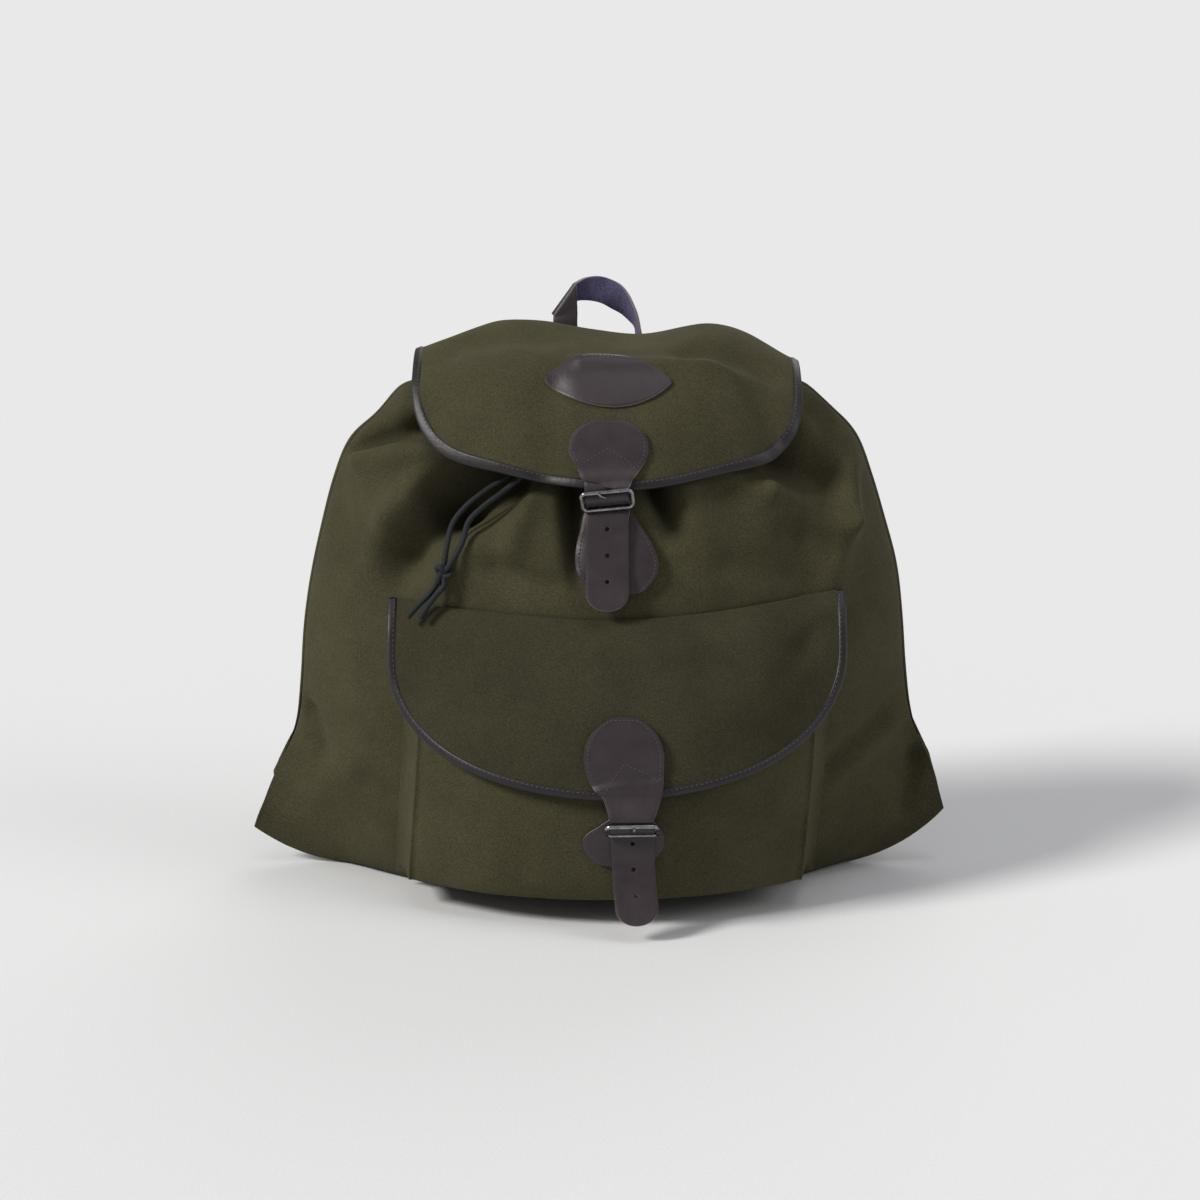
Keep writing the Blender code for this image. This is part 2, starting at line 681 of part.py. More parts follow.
def pocket_object(name, material, collection):
    """The pocket's front, gussets and floor in one cloth, open at the top and against the sack."""
    front_y, curves = pocket_front_y()
    top_z, low_z = POCKET_ROWS[-1].z, POCKET_ROWS[0].z
    sides = len(POCKET_SIDES) - 1
    columns, rows = POCKET_COLUMNS + 2 * sides, POCKET_RUNS + sides

    def place(s, t):
        i, j = round(s * columns), round(t * rows)
        up = max(j - sides, 0) / POCKET_RUNS
        floor_out, floor_forward = POCKET_SIDES[min(j, sides)]
        z = POCKET_FLOOR_Z + (low_z - POCKET_FLOOR_Z) * floor_out + (top_z - low_z) * up
        front_z = max(z, low_z)
        left, right = curves["left_x"](front_z), curves["right_x"](front_z)
        side_out, side_forward = POCKET_SIDES[min(i, columns - i, sides)]
        across = min(max(i - sides, 0), POCKET_COLUMNS) / POCKET_COLUMNS
        x = left + (right - left) * across
        x += GUSSET_OUT * (1 - side_out) * (-1 if i < columns / 2 else 1)
        rear = clear_of(sack_front_y, x, max(z, low_z), 2 * CLOTH) - 2 * FIT_GAP
        depth = max(rear - front_y(x, front_z), LEAST_POCKET_DEPTH)
        return Vector((x, rear - depth * side_forward * floor_forward, z))

    obj = add_object(name, grid_mesh(name, columns, rows, place), material, collection)
    solidify(obj, CLOTH, -1.0)
    return obj


def buckle_matrix(buckle):
    """From the buckle's own axes (across, up the strap, out of its face) to the bag's."""
    slope, roll = math.radians(buckle.slope), math.radians(buckle.roll)
    up = Vector((0.0, math.cos(slope), math.sin(slope)))
    out = Vector((0.0, -math.sin(slope), math.cos(slope)))
    turn = Matrix((Vector((1, 0, 0)), up, out)).transposed() @ Matrix.Rotation(roll, 3, "Z")
    return turn, Vector((buckle.x, buckle.y, buckle.z))


def buckle_points(buckle, local):
    turn, centre = buckle_matrix(buckle)
    return [centre + turn @ Vector(p) for p in local]


def buckle_object(name, buckle, material, collection, cutters):
    """A wire frame with rounded corners and a centre bar set back for the strap to pass over."""
    half_width = (BUCKLE_INSIDE_WIDTH + BUCKLE_WIRE) / 2
    half_height = BUCKLE_BARS_APART / 2
    radius, corner_steps = 3.5, 3
    frame = []
    for quarter, (across, up) in enumerate(((1, 1), (-1, 1), (-1, -1), (1, -1))):
        for step in range(corner_steps + 1):
            angle = math.pi / 2 * (quarter + step / corner_steps)
            x = across * (half_width - radius) + radius * math.cos(angle)
            v = up * (half_height - radius) + radius * math.sin(angle)
            frame.append((x, v, 0.0))
    points = buckle_points(buckle, frame)
    ring = as_mesh(tube_object(name, points, BUCKLE_WIRE, 2, material, collection, cyclic=True))
    bar = [(-1.0, 0.0), (-0.93, 0.35), (-0.78, 1.0), (0.78, 1.0), (0.93, 0.35), (1.0, 0.0)]
    local = [(along * half_width, 0.0, -back * CENTRE_BAR_SET_BACK) for along, back in bar]
    points = buckle_points(buckle, local)
    centre = as_mesh(tube_object(name + "_centre_bar", points, CENTRE_BAR_WIRE, 2, material, cutters))
    unite(ring, centre)
    ring.data.shade_smooth()
    return ring


EYE_RADIUS = (CENTRE_BAR_WIRE + PRONG_WIRE) / 2 + 0.35


def prong_object(name, buckle, material, collection):
    """A bent wire: its eye turns round the centre bar and its tip rests on the top bar."""
    eye_degrees, eye_steps = 280, 11
    slant = buckle.prong_slant
    local = []
    for step in range(eye_steps + 1):
        angle = math.radians(eye_degrees * (1 - step / eye_steps))
        v, w = -math.sin(angle) * EYE_RADIUS, math.cos(angle) * EYE_RADIUS - CENTRE_BAR_SET_BACK
        local.append((0.0, v, w))
    tip_out = (BUCKLE_WIRE + PRONG_WIRE) / 2 + 0.35
    bar = BUCKLE_BARS_APART / 2
    local += [(slant * 0.15, 3.2, 1.0), (slant * 0.7, bar - 1.0, tip_out), (slant, bar + 1.8, tip_out)]
    return tube_object(name, buckle_points(buckle, local), PRONG_WIRE, 1, material, collection)


def strap_path(surface, tab_x, tab_top_run, hem_run, buckle, tail):
    """The middle of a closure's thickness, from the top of its tab to its tip, and where its parts end.

    The tab lies on the flap and over its binding, the strap goes behind the buckle's top bar, over its
    centre bar and behind its lower bar, and the tail hangs free.
    """
    half = STRAP_LEATHER / 2
    steps = 9
    head = []
    for i in range(steps + 1):
        run = tab_top_run + (hem_run - TAB_LEAVES_HEM - tab_top_run) * i / steps
        x = tab_x + (buckle.x - tab_x) * smoothstep((i / steps - 0.5) * 2)
        spot, normal = surface(x, run)
        over_binding = smoothstep((run - (hem_run - BINDING_WIDTH - 9)) / 7)
        lift = 2 * FIT_GAP + half + (BINDING_LEATHER + FIT_GAP) * over_binding
        head.append(spot + normal * lift)
    bar = BUCKLE_BARS_APART / 2
    behind_bar = -(BUCKLE_WIRE / 2 + 2 * FIT_GAP + half)
    over_centre = EYE_RADIUS - CENTRE_BAR_SET_BACK + PRONG_WIRE / 2 + FIT_GAP + half
    through = (
        (0, bar + 1.6, behind_bar - 0.4),
        (0, bar - 1.2, behind_bar),
        (0, bar * 0.35, over_centre * 0.4),
        (0, 0, over_centre),
        (0, -bar * 0.35, over_centre * 0.4),
        (0, -bar + 1.2, behind_bar),
        (0, -bar - 1.6, behind_bar),
    )
    points = head + buckle_points(buckle, through) + [Vector(station) for station in tail]
    return points, len(head), len(head) + len(through) - 1


def closure_object(name, path, buckle, material, collection, cutters):
    """The tab and strap as one leather piece with its punched holes."""
    stations, first, last = path
    knots, place_at = curve_through_points(stations)
    neck, through_end, length = knots[first], knots[last], knots[-1]
    runs = [part * neck for part in TAB_PARTS] + knots[first + 1 : last + 1]
    body_steps = 6
    body_end = length - TIP_LENGTH
    runs += [through_end + (body_end - through_end) * (i + 1) / body_steps for i in range(body_steps)]
    runs += [body_end + TIP_LENGTH * part for part in (0.3, 0.55, 0.78, 0.92, 1.0)]
    tab = curve_through(TAB_PARTS, TAB_HALF_WIDTHS)
    points = [place_at(run) for run in runs]
    widths = []
    for run in runs:
        into_tip = max((run - body_end) / TIP_LENGTH, 0.0)
        strap = max(STRAP_WIDTH / 2 * math.sqrt(1 - into_tip**2.2), 4.5)
        widths.append(tab(run / neck) if run < neck else strap)
    bar_way = buckle_matrix(buckle)[0] @ Vector((1, 0, 0))
    sides = []
    for run, way in zip(runs, path_frames(points)):
        away = max(neck - run, run - through_end, 0.0)
        across = bar_way.lerp(Vector((1, 0, 0)), smoothstep(away / 20))
        sides.append(square_to(way, across))
    strap = ribbon_object(name, points, widths, sides, 2, STRAP_LEATHER, material, collection)
    holes = bmesh.new()
    for number in range(3):
        run = length - TIP_TO_HOLE - HOLE_PITCH * number
        ahead = (place_at(run + 1.0) - place_at(run)).normalized()
        across = square_to(ahead, Vector((1, 0, 0)))
        turn = Matrix((across, ahead, across.cross(ahead))).transposed().to_4x4()
        radius = HOLE_DIAMETER / 2 * MM
        bmesh.ops.create_cone(
            holes,
            cap_ends=True,
            segments=8,
            radius1=radius,
            radius2=radius,
            depth=4 * STRAP_LEATHER * MM,
            matrix=Matrix.Translation(place_at(run) * MM) @ turn,
        )
    mesh = bpy.data.meshes.new(name + "_holes")
    holes.to_mesh(mesh)
    holes.free()
    punch = add_object(name + "_holes", mesh, material, cutters)
    make_cutter(punch)
    cut(strap, punch)
    return strap


def slot_for_prong(name, leather_piece, buckle, low, high, material, cutters):
    """A slot through a piece, square to the buckle, from low to high in its up and out directions."""
    turn, centre = buckle_matrix(buckle)
    (low_up, low_out), (high_up, high_out) = low, high
    middle = centre + turn @ Vector((0, (low_up + high_up) / 2, (low_out + high_out) / 2))
    size = Matrix.Diagonal((2 * PRONG_SLOT_HALF, high_up - low_up, high_out - low_out, 1))
    to_metres = Matrix.Scale(MM, 4)
    bm = bmesh.new()
    bmesh.ops.create_cube(bm, size=1.0, matrix=to_metres @ Matrix.Translation(middle) @ turn.to_4x4() @ size)
    mesh = bpy.data.meshes.new(name)
    bm.to_mesh(mesh)
    bm.free()
    slot = add_object(name, mesh, material, cutters)
    make_cutter(slot)
    cut(leather_piece, slot)


def base_object(name, rows, behind_y, buckle, material, collection, cutters):
    """The teardrop under a buckle: flat on the cloth, then up and round the centre bar."""
    wrap_radius = CENTRE_BAR_WIRE / 2 + FIT_GAP + LEATHER / 2
    first_degrees, last_degrees, wrap_steps = 200, -30, 8
    local = []
    for step in range(wrap_steps + 1):
        angle = math.radians(first_degrees + (last_degrees - first_degrees) * step / wrap_steps)
        local.append((0, math.sin(angle) * wrap_radius, math.cos(angle) * wrap_radius - CENTRE_BAR_SET_BACK))
    neck = buckle_points(buckle, local)
    bar_way = buckle_matrix(buckle)[0] @ Vector((1, 0, 0))
    count = len(rows) + len(neck) - 1

    def place(s, t):
        i = round(t * count)
        if i >= len(rows):
            return neck[i - len(rows)] + bar_way * NECK_HALF_WIDTH * (2 * s - 1)
        row = rows[i]
        x = row.x + row.half_width * (2 * s - 1)
        return Vector((x, clear_of(behind_y, x, row.z, 5.0) - 2 * FIT_GAP - LEATHER / 2, row.z))

    base = add_object(name, grid_mesh(name, 4, count, place), material, collection)
    solidify(base, LEATHER, 0.0)
    slot_for_prong(name + "_slot", base, buckle, (-6.0, -9.0), (9.0, 4.0), material, cutters)
    return base


def patch_object(name, surface, outline, material, collection):
    columns, rows = 12, 4

    def place(s, t):
        part = 2 * s - 1
        reach = outline.half_height * (1 - abs(part) ** 2.0) ** 0.85 + 0.8
        spot, normal = surface(outline.x + outline.half_length * part, outline.run + reach * (2 * t - 1))
        return spot + normal * 2 * FIT_GAP

    mesh = grid_mesh(name, columns, rows, place)
    mesh.flip_normals()
    obj = add_object(name, mesh, material, collection)
    solidify(obj, LEATHER, 1.0)
    return obj


def strap_by_stations(name, points, widths, half_width, steps, thickness, material, collection):
    """A strap whose middle and width direction are read from curves through its stations."""
    knots, place_at = curve_through_points(points)
    leans = [curve_through(knots, [w[i] for w in widths]) for i in range(3)]
    runs = [knots[-1] * i / steps for i in range(steps + 1)]
    middle = [place_at(run) for run in runs]
    sides = []
    for run, way in zip(runs, path_frames(middle)):
        sides.append(square_to(way, Vector([axis(run) for axis in leans])))
    half_widths = [half_width] * (steps + 1)
    return ribbon_object(name, middle, half_widths, sides, 2, thickness, material, collection)


def handle_object(name, material, collection):
    curves = column_curves(HANDLE_ROWS, range(len(HANDLE_ROWS)))
    last = len(HANDLE_ROWS) - 1

    def place(s, t):
        row = {field: curve(t * last) for field, curve in curves.items()}
        left = Vector((row["left_x"], row["left_y"], row["left_z"]))
        right = Vector((row["right_x"], row["right_y"], row["right_z"]))
        return left.lerp(right, s)

    obj = add_object(name, grid_mesh(name, 2, 2 * last, place), material, collection)
    solidify(obj, STRAP_LEATHER, 0.0)
    return obj


def knot_object(name, centre, material, collection):
    """The overhand knot that ties both strands, as one rounded lump."""
    lean = Matrix.Rotation(math.radians(24), 4, "Y")
    size = Matrix.Diagonal((KNOT_WIDTH, KNOT_WIDTH * 0.8, KNOT_LENGTH, 1.0))
    matrix = Matrix.Scale(MM, 4) @ Matrix.Translation(Vector(centre)) @ lean @ size
    bm = bmesh.new()
    bmesh.ops.create_uvsphere(bm, u_segments=10, v_segments=6, radius=0.5, matrix=matrix)
    mesh = bpy.data.meshes.new(name)
    bm.to_mesh(mesh)
    bm.free()
    mesh.shade_smooth()
    return add_object(name, mesh, material, collection)


def flap_with_binding(name, surface, outline, columns, rows, cloth, leather, collection):
    flap_object(name, surface, outline, columns, rows, cloth, collection)
    binding_object(name + "_binding", surface, outline, columns, rows, leather, collection)


def closure(name, surface, outline, spec, behind_y, leather, metal, collection, cutters):
    """One closure: its tab and strap, its buckle and prong, and the leather that holds the buckle."""
    hem_run = outline_run(outline, spec.tab_x)
    path = strap_path(surface, spec.tab_x, hem_run - spec.tab_length, hem_run, spec.buckle, spec.tail)
    strap = closure_object(name + "_closure_strap", path, spec.buckle, leather, collection, cutters)
    slot_for_prong(name + "_strap_slot", strap, spec.buckle, (0.4, -6.0), (6.2, 8.0), leather, cutters)
    buckle_object(name + "_buckle", spec.buckle, metal, collection, cutters)
    prong_object(name + "_buckle_prong", spec.buckle, metal, collection)
    base_object(name + "_buckle_base", spec.base, behind_y, spec.buckle, leather, collection, cutters)


def clear_scene():
    for obj in list(bpy.data.objects):
        bpy.data.objects.remove(obj)


def main():
    clear_scene()
    bag = new_collection("hunting_rucksack")
    cutters = new_collection("cutters")
    loden = principled("Olive loden cloth", (0.052, 0.044, 0.022), 0.95)
    leather = principled("Dark brown leather", (0.045, 0.033, 0.036), 0.45)
    gunmetal = principled("Gunmetal wire", (0.12, 0.12, 0.12), 0.35, 1.0)
    cord = principled("Black braided cord", (0.012, 0.014, 0.017), 0.7)

    panel_object("sack_front", -1, FRONT_COLUMNS, FRONT_ROWS, loden, bag)
    panel_object("sack_back", 1, BACK_COLUMNS, BACK_ROWS, loden, bag)

    top_surface = flap_surface(TOP_FLAP_SECTIONS, TOP_FLAP_RUN, TOP_FLAP_FOLDS)
    grid = (TOP_FLAP_COLUMNS, TOP_FLAP_ROWS)
    flap_with_binding("top_flap", top_surface, TOP_FLAP_OUTLINE, *grid, loden, leather, bag)
    patch_object("oval_patch", top_surface, TOP_PATCH, leather, bag)

    hinge_xs = [s.x for s in POCKET_FLAP_SECTIONS]
    hinge_z = curve_through(hinge_xs, [s.hinge_z for s in POCKET_FLAP_SECTIONS])
    hinge_off = CLOTH + BINDING_LEATHER + FIT_GAP

    def hinge_y(x):
        return sack_front_y(x, hinge_z(x)) - hinge_off

    pocket_surface = flap_surface(POCKET_FLAP_SECTIONS, POCKET_FLAP_RUN, POCKET_FLAP_FOLDS, hinge_y)
    pocket_object("pocket", loden, bag)
    grid = (POCKET_FLAP_COLUMNS, POCKET_FLAP_ROWS)
    flap_with_binding("pocket_flap", pocket_surface, POCKET_FLAP_OUTLINE, *grid, loden, leather, bag)

    materials = (leather, gunmetal, bag, cutters)
    closure("top", top_surface, TOP_FLAP_OUTLINE, TOP_CLOSURE, sack_front_y, *materials)
    pocket_y = pocket_front_y()[0]
    closure("pocket", pocket_surface, POCKET_FLAP_OUTLINE, POCKET_CLOSURE, pocket_y, *materials)

    handle_object("carry_handle", leather, bag)
    for side, word in ((-1, "left"), (1, "right")):
        places = [Vector((s.x * side, s.y, s.z)) for s in SHOULDER_STRAP]
        widths = [Vector((1.0, 0.0, 0.35 * side))] * len(places)
        half, thick = SHOULDER_STRAP_WIDTH / 2, SHOULDER_STRAP_THICKNESS
        strap_by_stations("shoulder_strap_" + word, places, widths, half, 16, thick, leather, bag)

    strands = {
        "drawcord_left": CORD_STRAND_LEFT,
        "drawcord_right": CORD_STRAND_RIGHT,
        "drawcord_tail_left": CORD_TAIL_LEFT,
        "drawcord_tail_right": CORD_TAIL_RIGHT,
    }
    for name, stations in strands.items():
        tube_object(name, cord_points(stations, 2.5 * CORD_DIAMETER), CORD_DIAMETER, 2, cord, bag)
    knot_object("drawcord_knot", CORD_KNOT, cord, bag)


main()
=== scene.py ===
# %% [markdown]
# # A hunting rucksack in loden cloth
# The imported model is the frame: its solids have the real sizes, and they stay where they are.
# This lesson dresses them. Each cloth or leather piece is made again from the same named sizes with a
# finer mesh, because a fold, a puckered seam and a rounded leather edge need more points than a
# collision solid has. A sculpted mesh would look as good, but nobody could change its sizes later.

# %% Load the frame
import bisect
import math
from collections import namedtuple

import bmesh
import bpy
from mathutils import Matrix, Vector, noise
from mathutils.bvhtree import BVHTree


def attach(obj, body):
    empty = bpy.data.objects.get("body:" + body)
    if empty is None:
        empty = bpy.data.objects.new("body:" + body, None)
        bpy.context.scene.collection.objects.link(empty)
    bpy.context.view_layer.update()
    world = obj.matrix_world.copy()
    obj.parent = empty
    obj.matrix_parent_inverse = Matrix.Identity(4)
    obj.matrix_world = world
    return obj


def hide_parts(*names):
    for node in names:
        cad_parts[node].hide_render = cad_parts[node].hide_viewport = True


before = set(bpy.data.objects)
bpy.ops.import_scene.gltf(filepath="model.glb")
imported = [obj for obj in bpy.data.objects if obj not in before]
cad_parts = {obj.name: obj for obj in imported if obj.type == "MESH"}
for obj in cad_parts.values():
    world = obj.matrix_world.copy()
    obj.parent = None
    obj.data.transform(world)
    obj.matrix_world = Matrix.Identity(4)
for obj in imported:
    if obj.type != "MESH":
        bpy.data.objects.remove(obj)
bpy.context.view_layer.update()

MM = 0.001


def table(kind, *rows):
    """Rows with the named columns of their kind."""
    return tuple(kind(*row) for row in rows)


# %% [markdown]
# ## The camera
# The photograph looks down on the bag by about 13 degrees from two metres away, with a long lens, so
# the sides hardly narrow. The camera comes first because everything is compared through it. A lens of
# 81 mm on a 36 mm sensor gives the photograph's 1200 pixels the same width at the same distance.

# %% Camera
CAMERA_DOWN = math.radians(13.0)
CAMERA_AWAY = 2.0
LOOK_AT = Vector((0.0, 0.0, 0.203))
PHOTO_PIXELS, MIDDLE_PIXEL = 1200, 603

camera_data = bpy.data.cameras.new("camera")
camera_data.lens, camera_data.sensor_width = 81.0, 36.0
camera_data.shift_x = (PHOTO_PIXELS / 2 - MIDDLE_PIXEL) / PHOTO_PIXELS
camera = bpy.data.objects.new("camera", camera_data)
bpy.context.scene.collection.objects.link(camera)
view_way = Vector((0.0, math.cos(CAMERA_DOWN), -math.sin(CAMERA_DOWN)))
camera.location = LOOK_AT - view_way * CAMERA_AWAY
camera.rotation_euler = (math.pi / 2 - CAMERA_DOWN, 0.0, 0.0)
bpy.context.scene.camera = camera
print("camera at", [round(c, 3) for c in camera.location])

# %% [markdown]
# ## The maker's sizes
# Every length below is in millimetres, as the bag's maker would give it. They are the same numbers as
# in the solids, so each fine piece lies exactly where its solid does.

# %% Sizes of cloth, leather and metal
CLOTH = 2.0
LEATHER = 1.5
STRAP_LEATHER = 2.0
FIT_GAP = 0.4
BINDING_WIDTH = 6.0
BINDING_LEATHER = 1.2
STRAP_WIDTH = 30.0
HOLE_PITCH = 18.5
HOLE_DIAMETER = 3.2
TIP_TO_HOLE = 21.0
BUCKLE_BARS_APART = 15.0
BUCKLE_INSIDE_WIDTH = 32.6
BUCKLE_WIRE = 3.0
CENTRE_BAR_WIRE = 2.6
CENTRE_BAR_SET_BACK = 4.0
PRONG_WIRE = 2.0
CORD_DIAMETER = 4.2
SHOULDER_STRAP_WIDTH = 38.0
SHOULDER_STRAP_THICKNESS = 3.0

# %% [markdown]
# ## Smooth curves through a few values
# A maker marks only a few places, and cloth runs smoothly between them. A Hermite curve passes
# through every value without a corner, and a table with named columns keeps the numbers readable.
# A spline object could do the same, but a function is easier to ask for a single point.

# %% Curves
def smoothstep(t):
    t = min(max(t, 0.0), 1.0)
    return t * t * (3.0 - 2.0 * t)


def curve_through(knots, values):
    """A function that passes through each value at its knot, with no corner."""
    last = len(knots) - 1
    slopes = []
    for i in range(last + 1):
        before, after = max(i - 1, 0), min(i + 1, last)
        slopes.append((values[after] - values[before]) / (knots[after] - knots[before]))

    def at(t):
        i = 0
        while i < last - 1 and t > knots[i + 1]:
            i += 1
        span = knots[i + 1] - knots[i]
        r = min(max((t - knots[i]) / span, 0.0), 1.0)
        start = (1 + 2 * r) * (1 - r) ** 2 * values[i] + r * (1 - r) ** 2 * span * slopes[i]
        end = r * r * (3 - 2 * r) * values[i + 1] + r * r * (r - 1) * span * slopes[i + 1]
        return start + end

    return at


def column_curves(rows, knots):
    """One curve for each column of a table, named as the column is."""
    fields = rows[0]._fields
    return {f: curve_through(knots, [getattr(row, f) for row in rows]) for f in fields}


def curve_through_points(points):
    """The lengths to each point and a function that gives the place after a length of the path."""
    knots = [0.0]
    for a, b in zip(points, points[1:]):
        knots.append(knots[-1] + (b - a).length)
    axes = [curve_through(knots, [p[i] for p in points]) for i in range(3)]
    return knots, lambda run: Vector([axis(run) for axis in axes])


def square_to(way, direction):
    return (direction - way * way.dot(direction)).normalized()

# %% [markdown]
# ## The sack's shape
# The sack is two flat panels sewn together at the sides and the bottom, so it lies like a full
# pillow-case: round in the middle, flat where the panels meet. Each row of the table is one section.

# %% Sections of the sack
# A row goes from side seam to side seam: where both seams are, where the middle of each panel is, how
# round the section is (1 or more is flat like a pillow's corner, 0.5 an ellipse) and how late it lifts.
SackRow = namedtuple(
    "SackRow",
    "left_x left_z right_x right_z seam_y front_y front_z back_y back_z flatness back_flatness lift",
)
SACK_ROWS = table(
    SackRow,
    (-263, 27, 257, 42, 2, -10, -6, -10, -6, 1.5, 1.5, 6.0),
    (-250, 62, 247, 76, 4, -62, -5, 30, -5, 1.2, 1.1, 5.0),
    (-238, 87, 236, 99, 6, -90, 5, 49, 6, 1.0, 0.85, 4.0),
    (-229, 110, 229, 122, 8, -103, 27, 57, 28, 0.85, 0.7, 3.2),
    (-225, 141, 225, 152, 10, -107, 62, 60, 70, 0.75, 0.6, 3.0),
    (-222, 181, 222, 190, 12, -109, 107, 60, 115, 0.68, 0.52, 3.0),
    (-216, 220, 217, 228, 13, -110, 152, 59, 160, 0.62, 0.48, 3.0),
    (-207, 259, 207, 264, 14, -107, 197, 57, 205, 0.58, 0.45, 3.0),
    (-198, 292, 197, 296, 15, -101, 236, 55, 245, 0.55, 0.42, 3.0),
    (-186, 321, 186, 324, 15, -91, 270, 53, 280, 0.52, 0.4, 3.0),
    (-166, 341, 168, 345, 14, -79, 301, 51, 312, 0.52, 0.38, 3.0),
    (-147, 361, 148, 362, 10, -67, 331, 49, 346, 0.52, 0.36, 3.0),
    (-124, 371, 127, 371, 5, -57, 360, 46, 378, 0.52, 0.34, 3.0),
)
BACK_SIDE_BULGE = 4.0

# %% [markdown]
# ## Folds
# A fold in heavy cloth is a soft ridge or hollow along a line. It could be sculpted by hand, or come
# from a cloth simulation, but then it lands where the solver puts it. Here each fold is a line with a
# height and a width, so it lands where the photograph shows it.

# %% Folds of the sack
# A fold runs straight from its start to its end, as seen from the front. A height above zero is a
# ridge, one below zero a hollow, and the width is where it has fallen to about a third.
Fold = namedtuple("Fold", "start_x start_z end_x end_z start_height end_height start_width end_width")
FRONT_FOLDS = table(
    Fold,
    (-68, 320, -112, 289, -64, -42, 22, 18),
    (-112, 288, -145, 246, -24, -14, 16, 15),
    (-145, 248, -153, 220, -9, -3, 12, 13),
    (-112, 322, -150, 276, 5, 9, 9, 12),
    (-150, 276, -172, 236, 8, 2, 12, 14),
    (-50, 308, -64, 262, 12, 6, 8, 9),
    (-92, 266, -112, 241, 7, 5.1, 11, 14),
    (-20, 310, -17, 240, -34, -8, 9, 8),
    (37, 310, 50, 272, -36, -6, 8, 6),
    (60, 300, 76, 240, 7, 2, 12, 20),
    (80, 322, 118, 296, 7, 10, 9, 7),
    (118, 296, 163, 268, 10, 4, 6, 8),
    (124, 330, 164, 304, -38, -22, 18, 13),
    (138, 266, 146, 222, -7, -2, 11, 13),
    (177, 306, 175, 268, 11, 11, 8, 8),
    (175, 268, 165, 222, 9, 3, 8, 10),
    (-184, 322, -126, 344, -16, -28, 6, 9),
    (-176, 312, -128, 326, 10, 10, 7, 8),
    (-196, 290, -182, 250, -4, -4, 10, 12),
    (150, 352, 163, 338, -7, -4, 6, 6),
    (166, 92, 214, 124, -9, -7, 6, 7),
    (170, 82, 216, 112, 5, 4, 7, 7),
    (-220, 120, -208, 94, -9, -5, 6, 6),
    (-176, 78, -150, 70, -4, -4, 6, 6),
    (-215, 60, -172, 108, 3, 3, 12, 14),
    (234, 84, 226, 46, -9, -6, 8, 8),
    (-76, 247, -36, 236, -6, -5, 7, 7),
    (90, 250, 128, 238, -3, -3, 10, 10),
)
BACK_FOLDS = table(
    Fold,
    (-60, 330, -70, 250, -4, -2, 20, 24),
    (55, 330, 62, 240, -4, -2, 20, 24),
    (0, 110, 0, 60, 3, 3, 60, 60),
    (-170, 300, -185, 200, -3, -2, 18, 18),
    (165, 300, 185, 190, -3, -2, 18, 18),
)
GATHER_PITCH, GATHER_DEPTH, GATHER_START_Z, GATHER_RISE = 37.0, 4.5, 305.0, 50.0
def fold_height(folds, x, z):
    """How far the folds raise the cloth at a place, in millimetres."""
    height = 0.0
    for f in folds:
        along_x, along_z = f.end_x - f.start_x, f.end_z - f.start_z
        t = ((x - f.start_x) * along_x + (z - f.start_z) * along_z) / (along_x**2 + along_z**2)
        t = min(max(t, 0.0), 1.0)
        width = f.start_width + (f.end_width - f.start_width) * t
        away = math.hypot(x - f.start_x - along_x * t, z - f.start_z - along_z * t) / width
        height += (f.start_height + (f.end_height - f.start_height) * t) * math.exp(-away * away)
    return height

# %% [markdown]
# ## Flaps, pocket and closures
# A flap is a sheet hinged at its top edge. A section says where the sheet runs from the hinge to the
# hem, so a few sections are enough for a flap that bulges in the middle and droops at its sides.

# %% Sections of the flaps
# A section is at one place across the flap, and gives y and z after each length of cloth in the run.
FlapSection = namedtuple(
    "FlapSection",
    "x hinge_y hinge_z ridge_y ridge_z crown_y crown_z crest_y crest_z face_y face_z hem_y hem_z",
)
FLAP_STATIONS = ("hinge", "ridge", "crown", "crest", "face", "hem")
HINGE_SHARE = (1.0, 0.7, 0.35, 0.0, 0.0, 0.0)
TOP_FLAP_RUN = (0.0, 26.0, 80.0, 124.0, 171.0, 219.0)
TOP_FLAP_SECTIONS = table(
    FlapSection,
    (-138, 34, 368, 26, 386, -14, 372, -40, 342, -58, 300, -69, 250),
    (-69, 48.7, 370, 43, 404, -6, 400, -44, 384, -70, 346, -85.5, 296.5),
    (27, 52.4, 370, 45, 394, -6, 394, -47, 385, -78, 351, -99.5, 303.5),
    (87, 48.5, 370, 43, 402, -6, 397, -44, 379, -68, 339, -81.5, 288.5),
    (144, 34, 362, 26, 377, -14, 364, -42, 334, -60, 292, -71, 242),
)
POCKET_FLAP_RUN = (0.0, 10.0, 18.0, 34.0, 80.0, 133.0)
POCKET_FLAP_SECTIONS = table(
    FlapSection,
    (-147, -68, 220, -74, 214, -79, 208, -86, 195, -100, 152, -109, 99),
    (-75, -96, 217, -104, 212, -111, 206, -121, 194, -140, 154, -150, 101),
    (10, -108, 214, -116, 209, -123, 203, -133, 191, -152, 151, -162, 98),
    (95, -98, 219, -105, 214, -112, 208, -121, 196, -140, 156, -150, 103),
    (167, -64, 225, -70, 219, -75, 213, -83, 200, -99, 158, -109, 104),
)
# The outline of a flap: straight down its sides, then round to the hem as a superellipse.
FlapOutline = namedtuple("FlapOutline", "left right side_run hem_run roundness")
TOP_FLAP_OUTLINE = FlapOutline(-138.0, 144.0, 84.0, 219.0, 2.2)
POCKET_FLAP_OUTLINE = FlapOutline(-153.5, 173.5, 40.0, 133.0, 2.7)
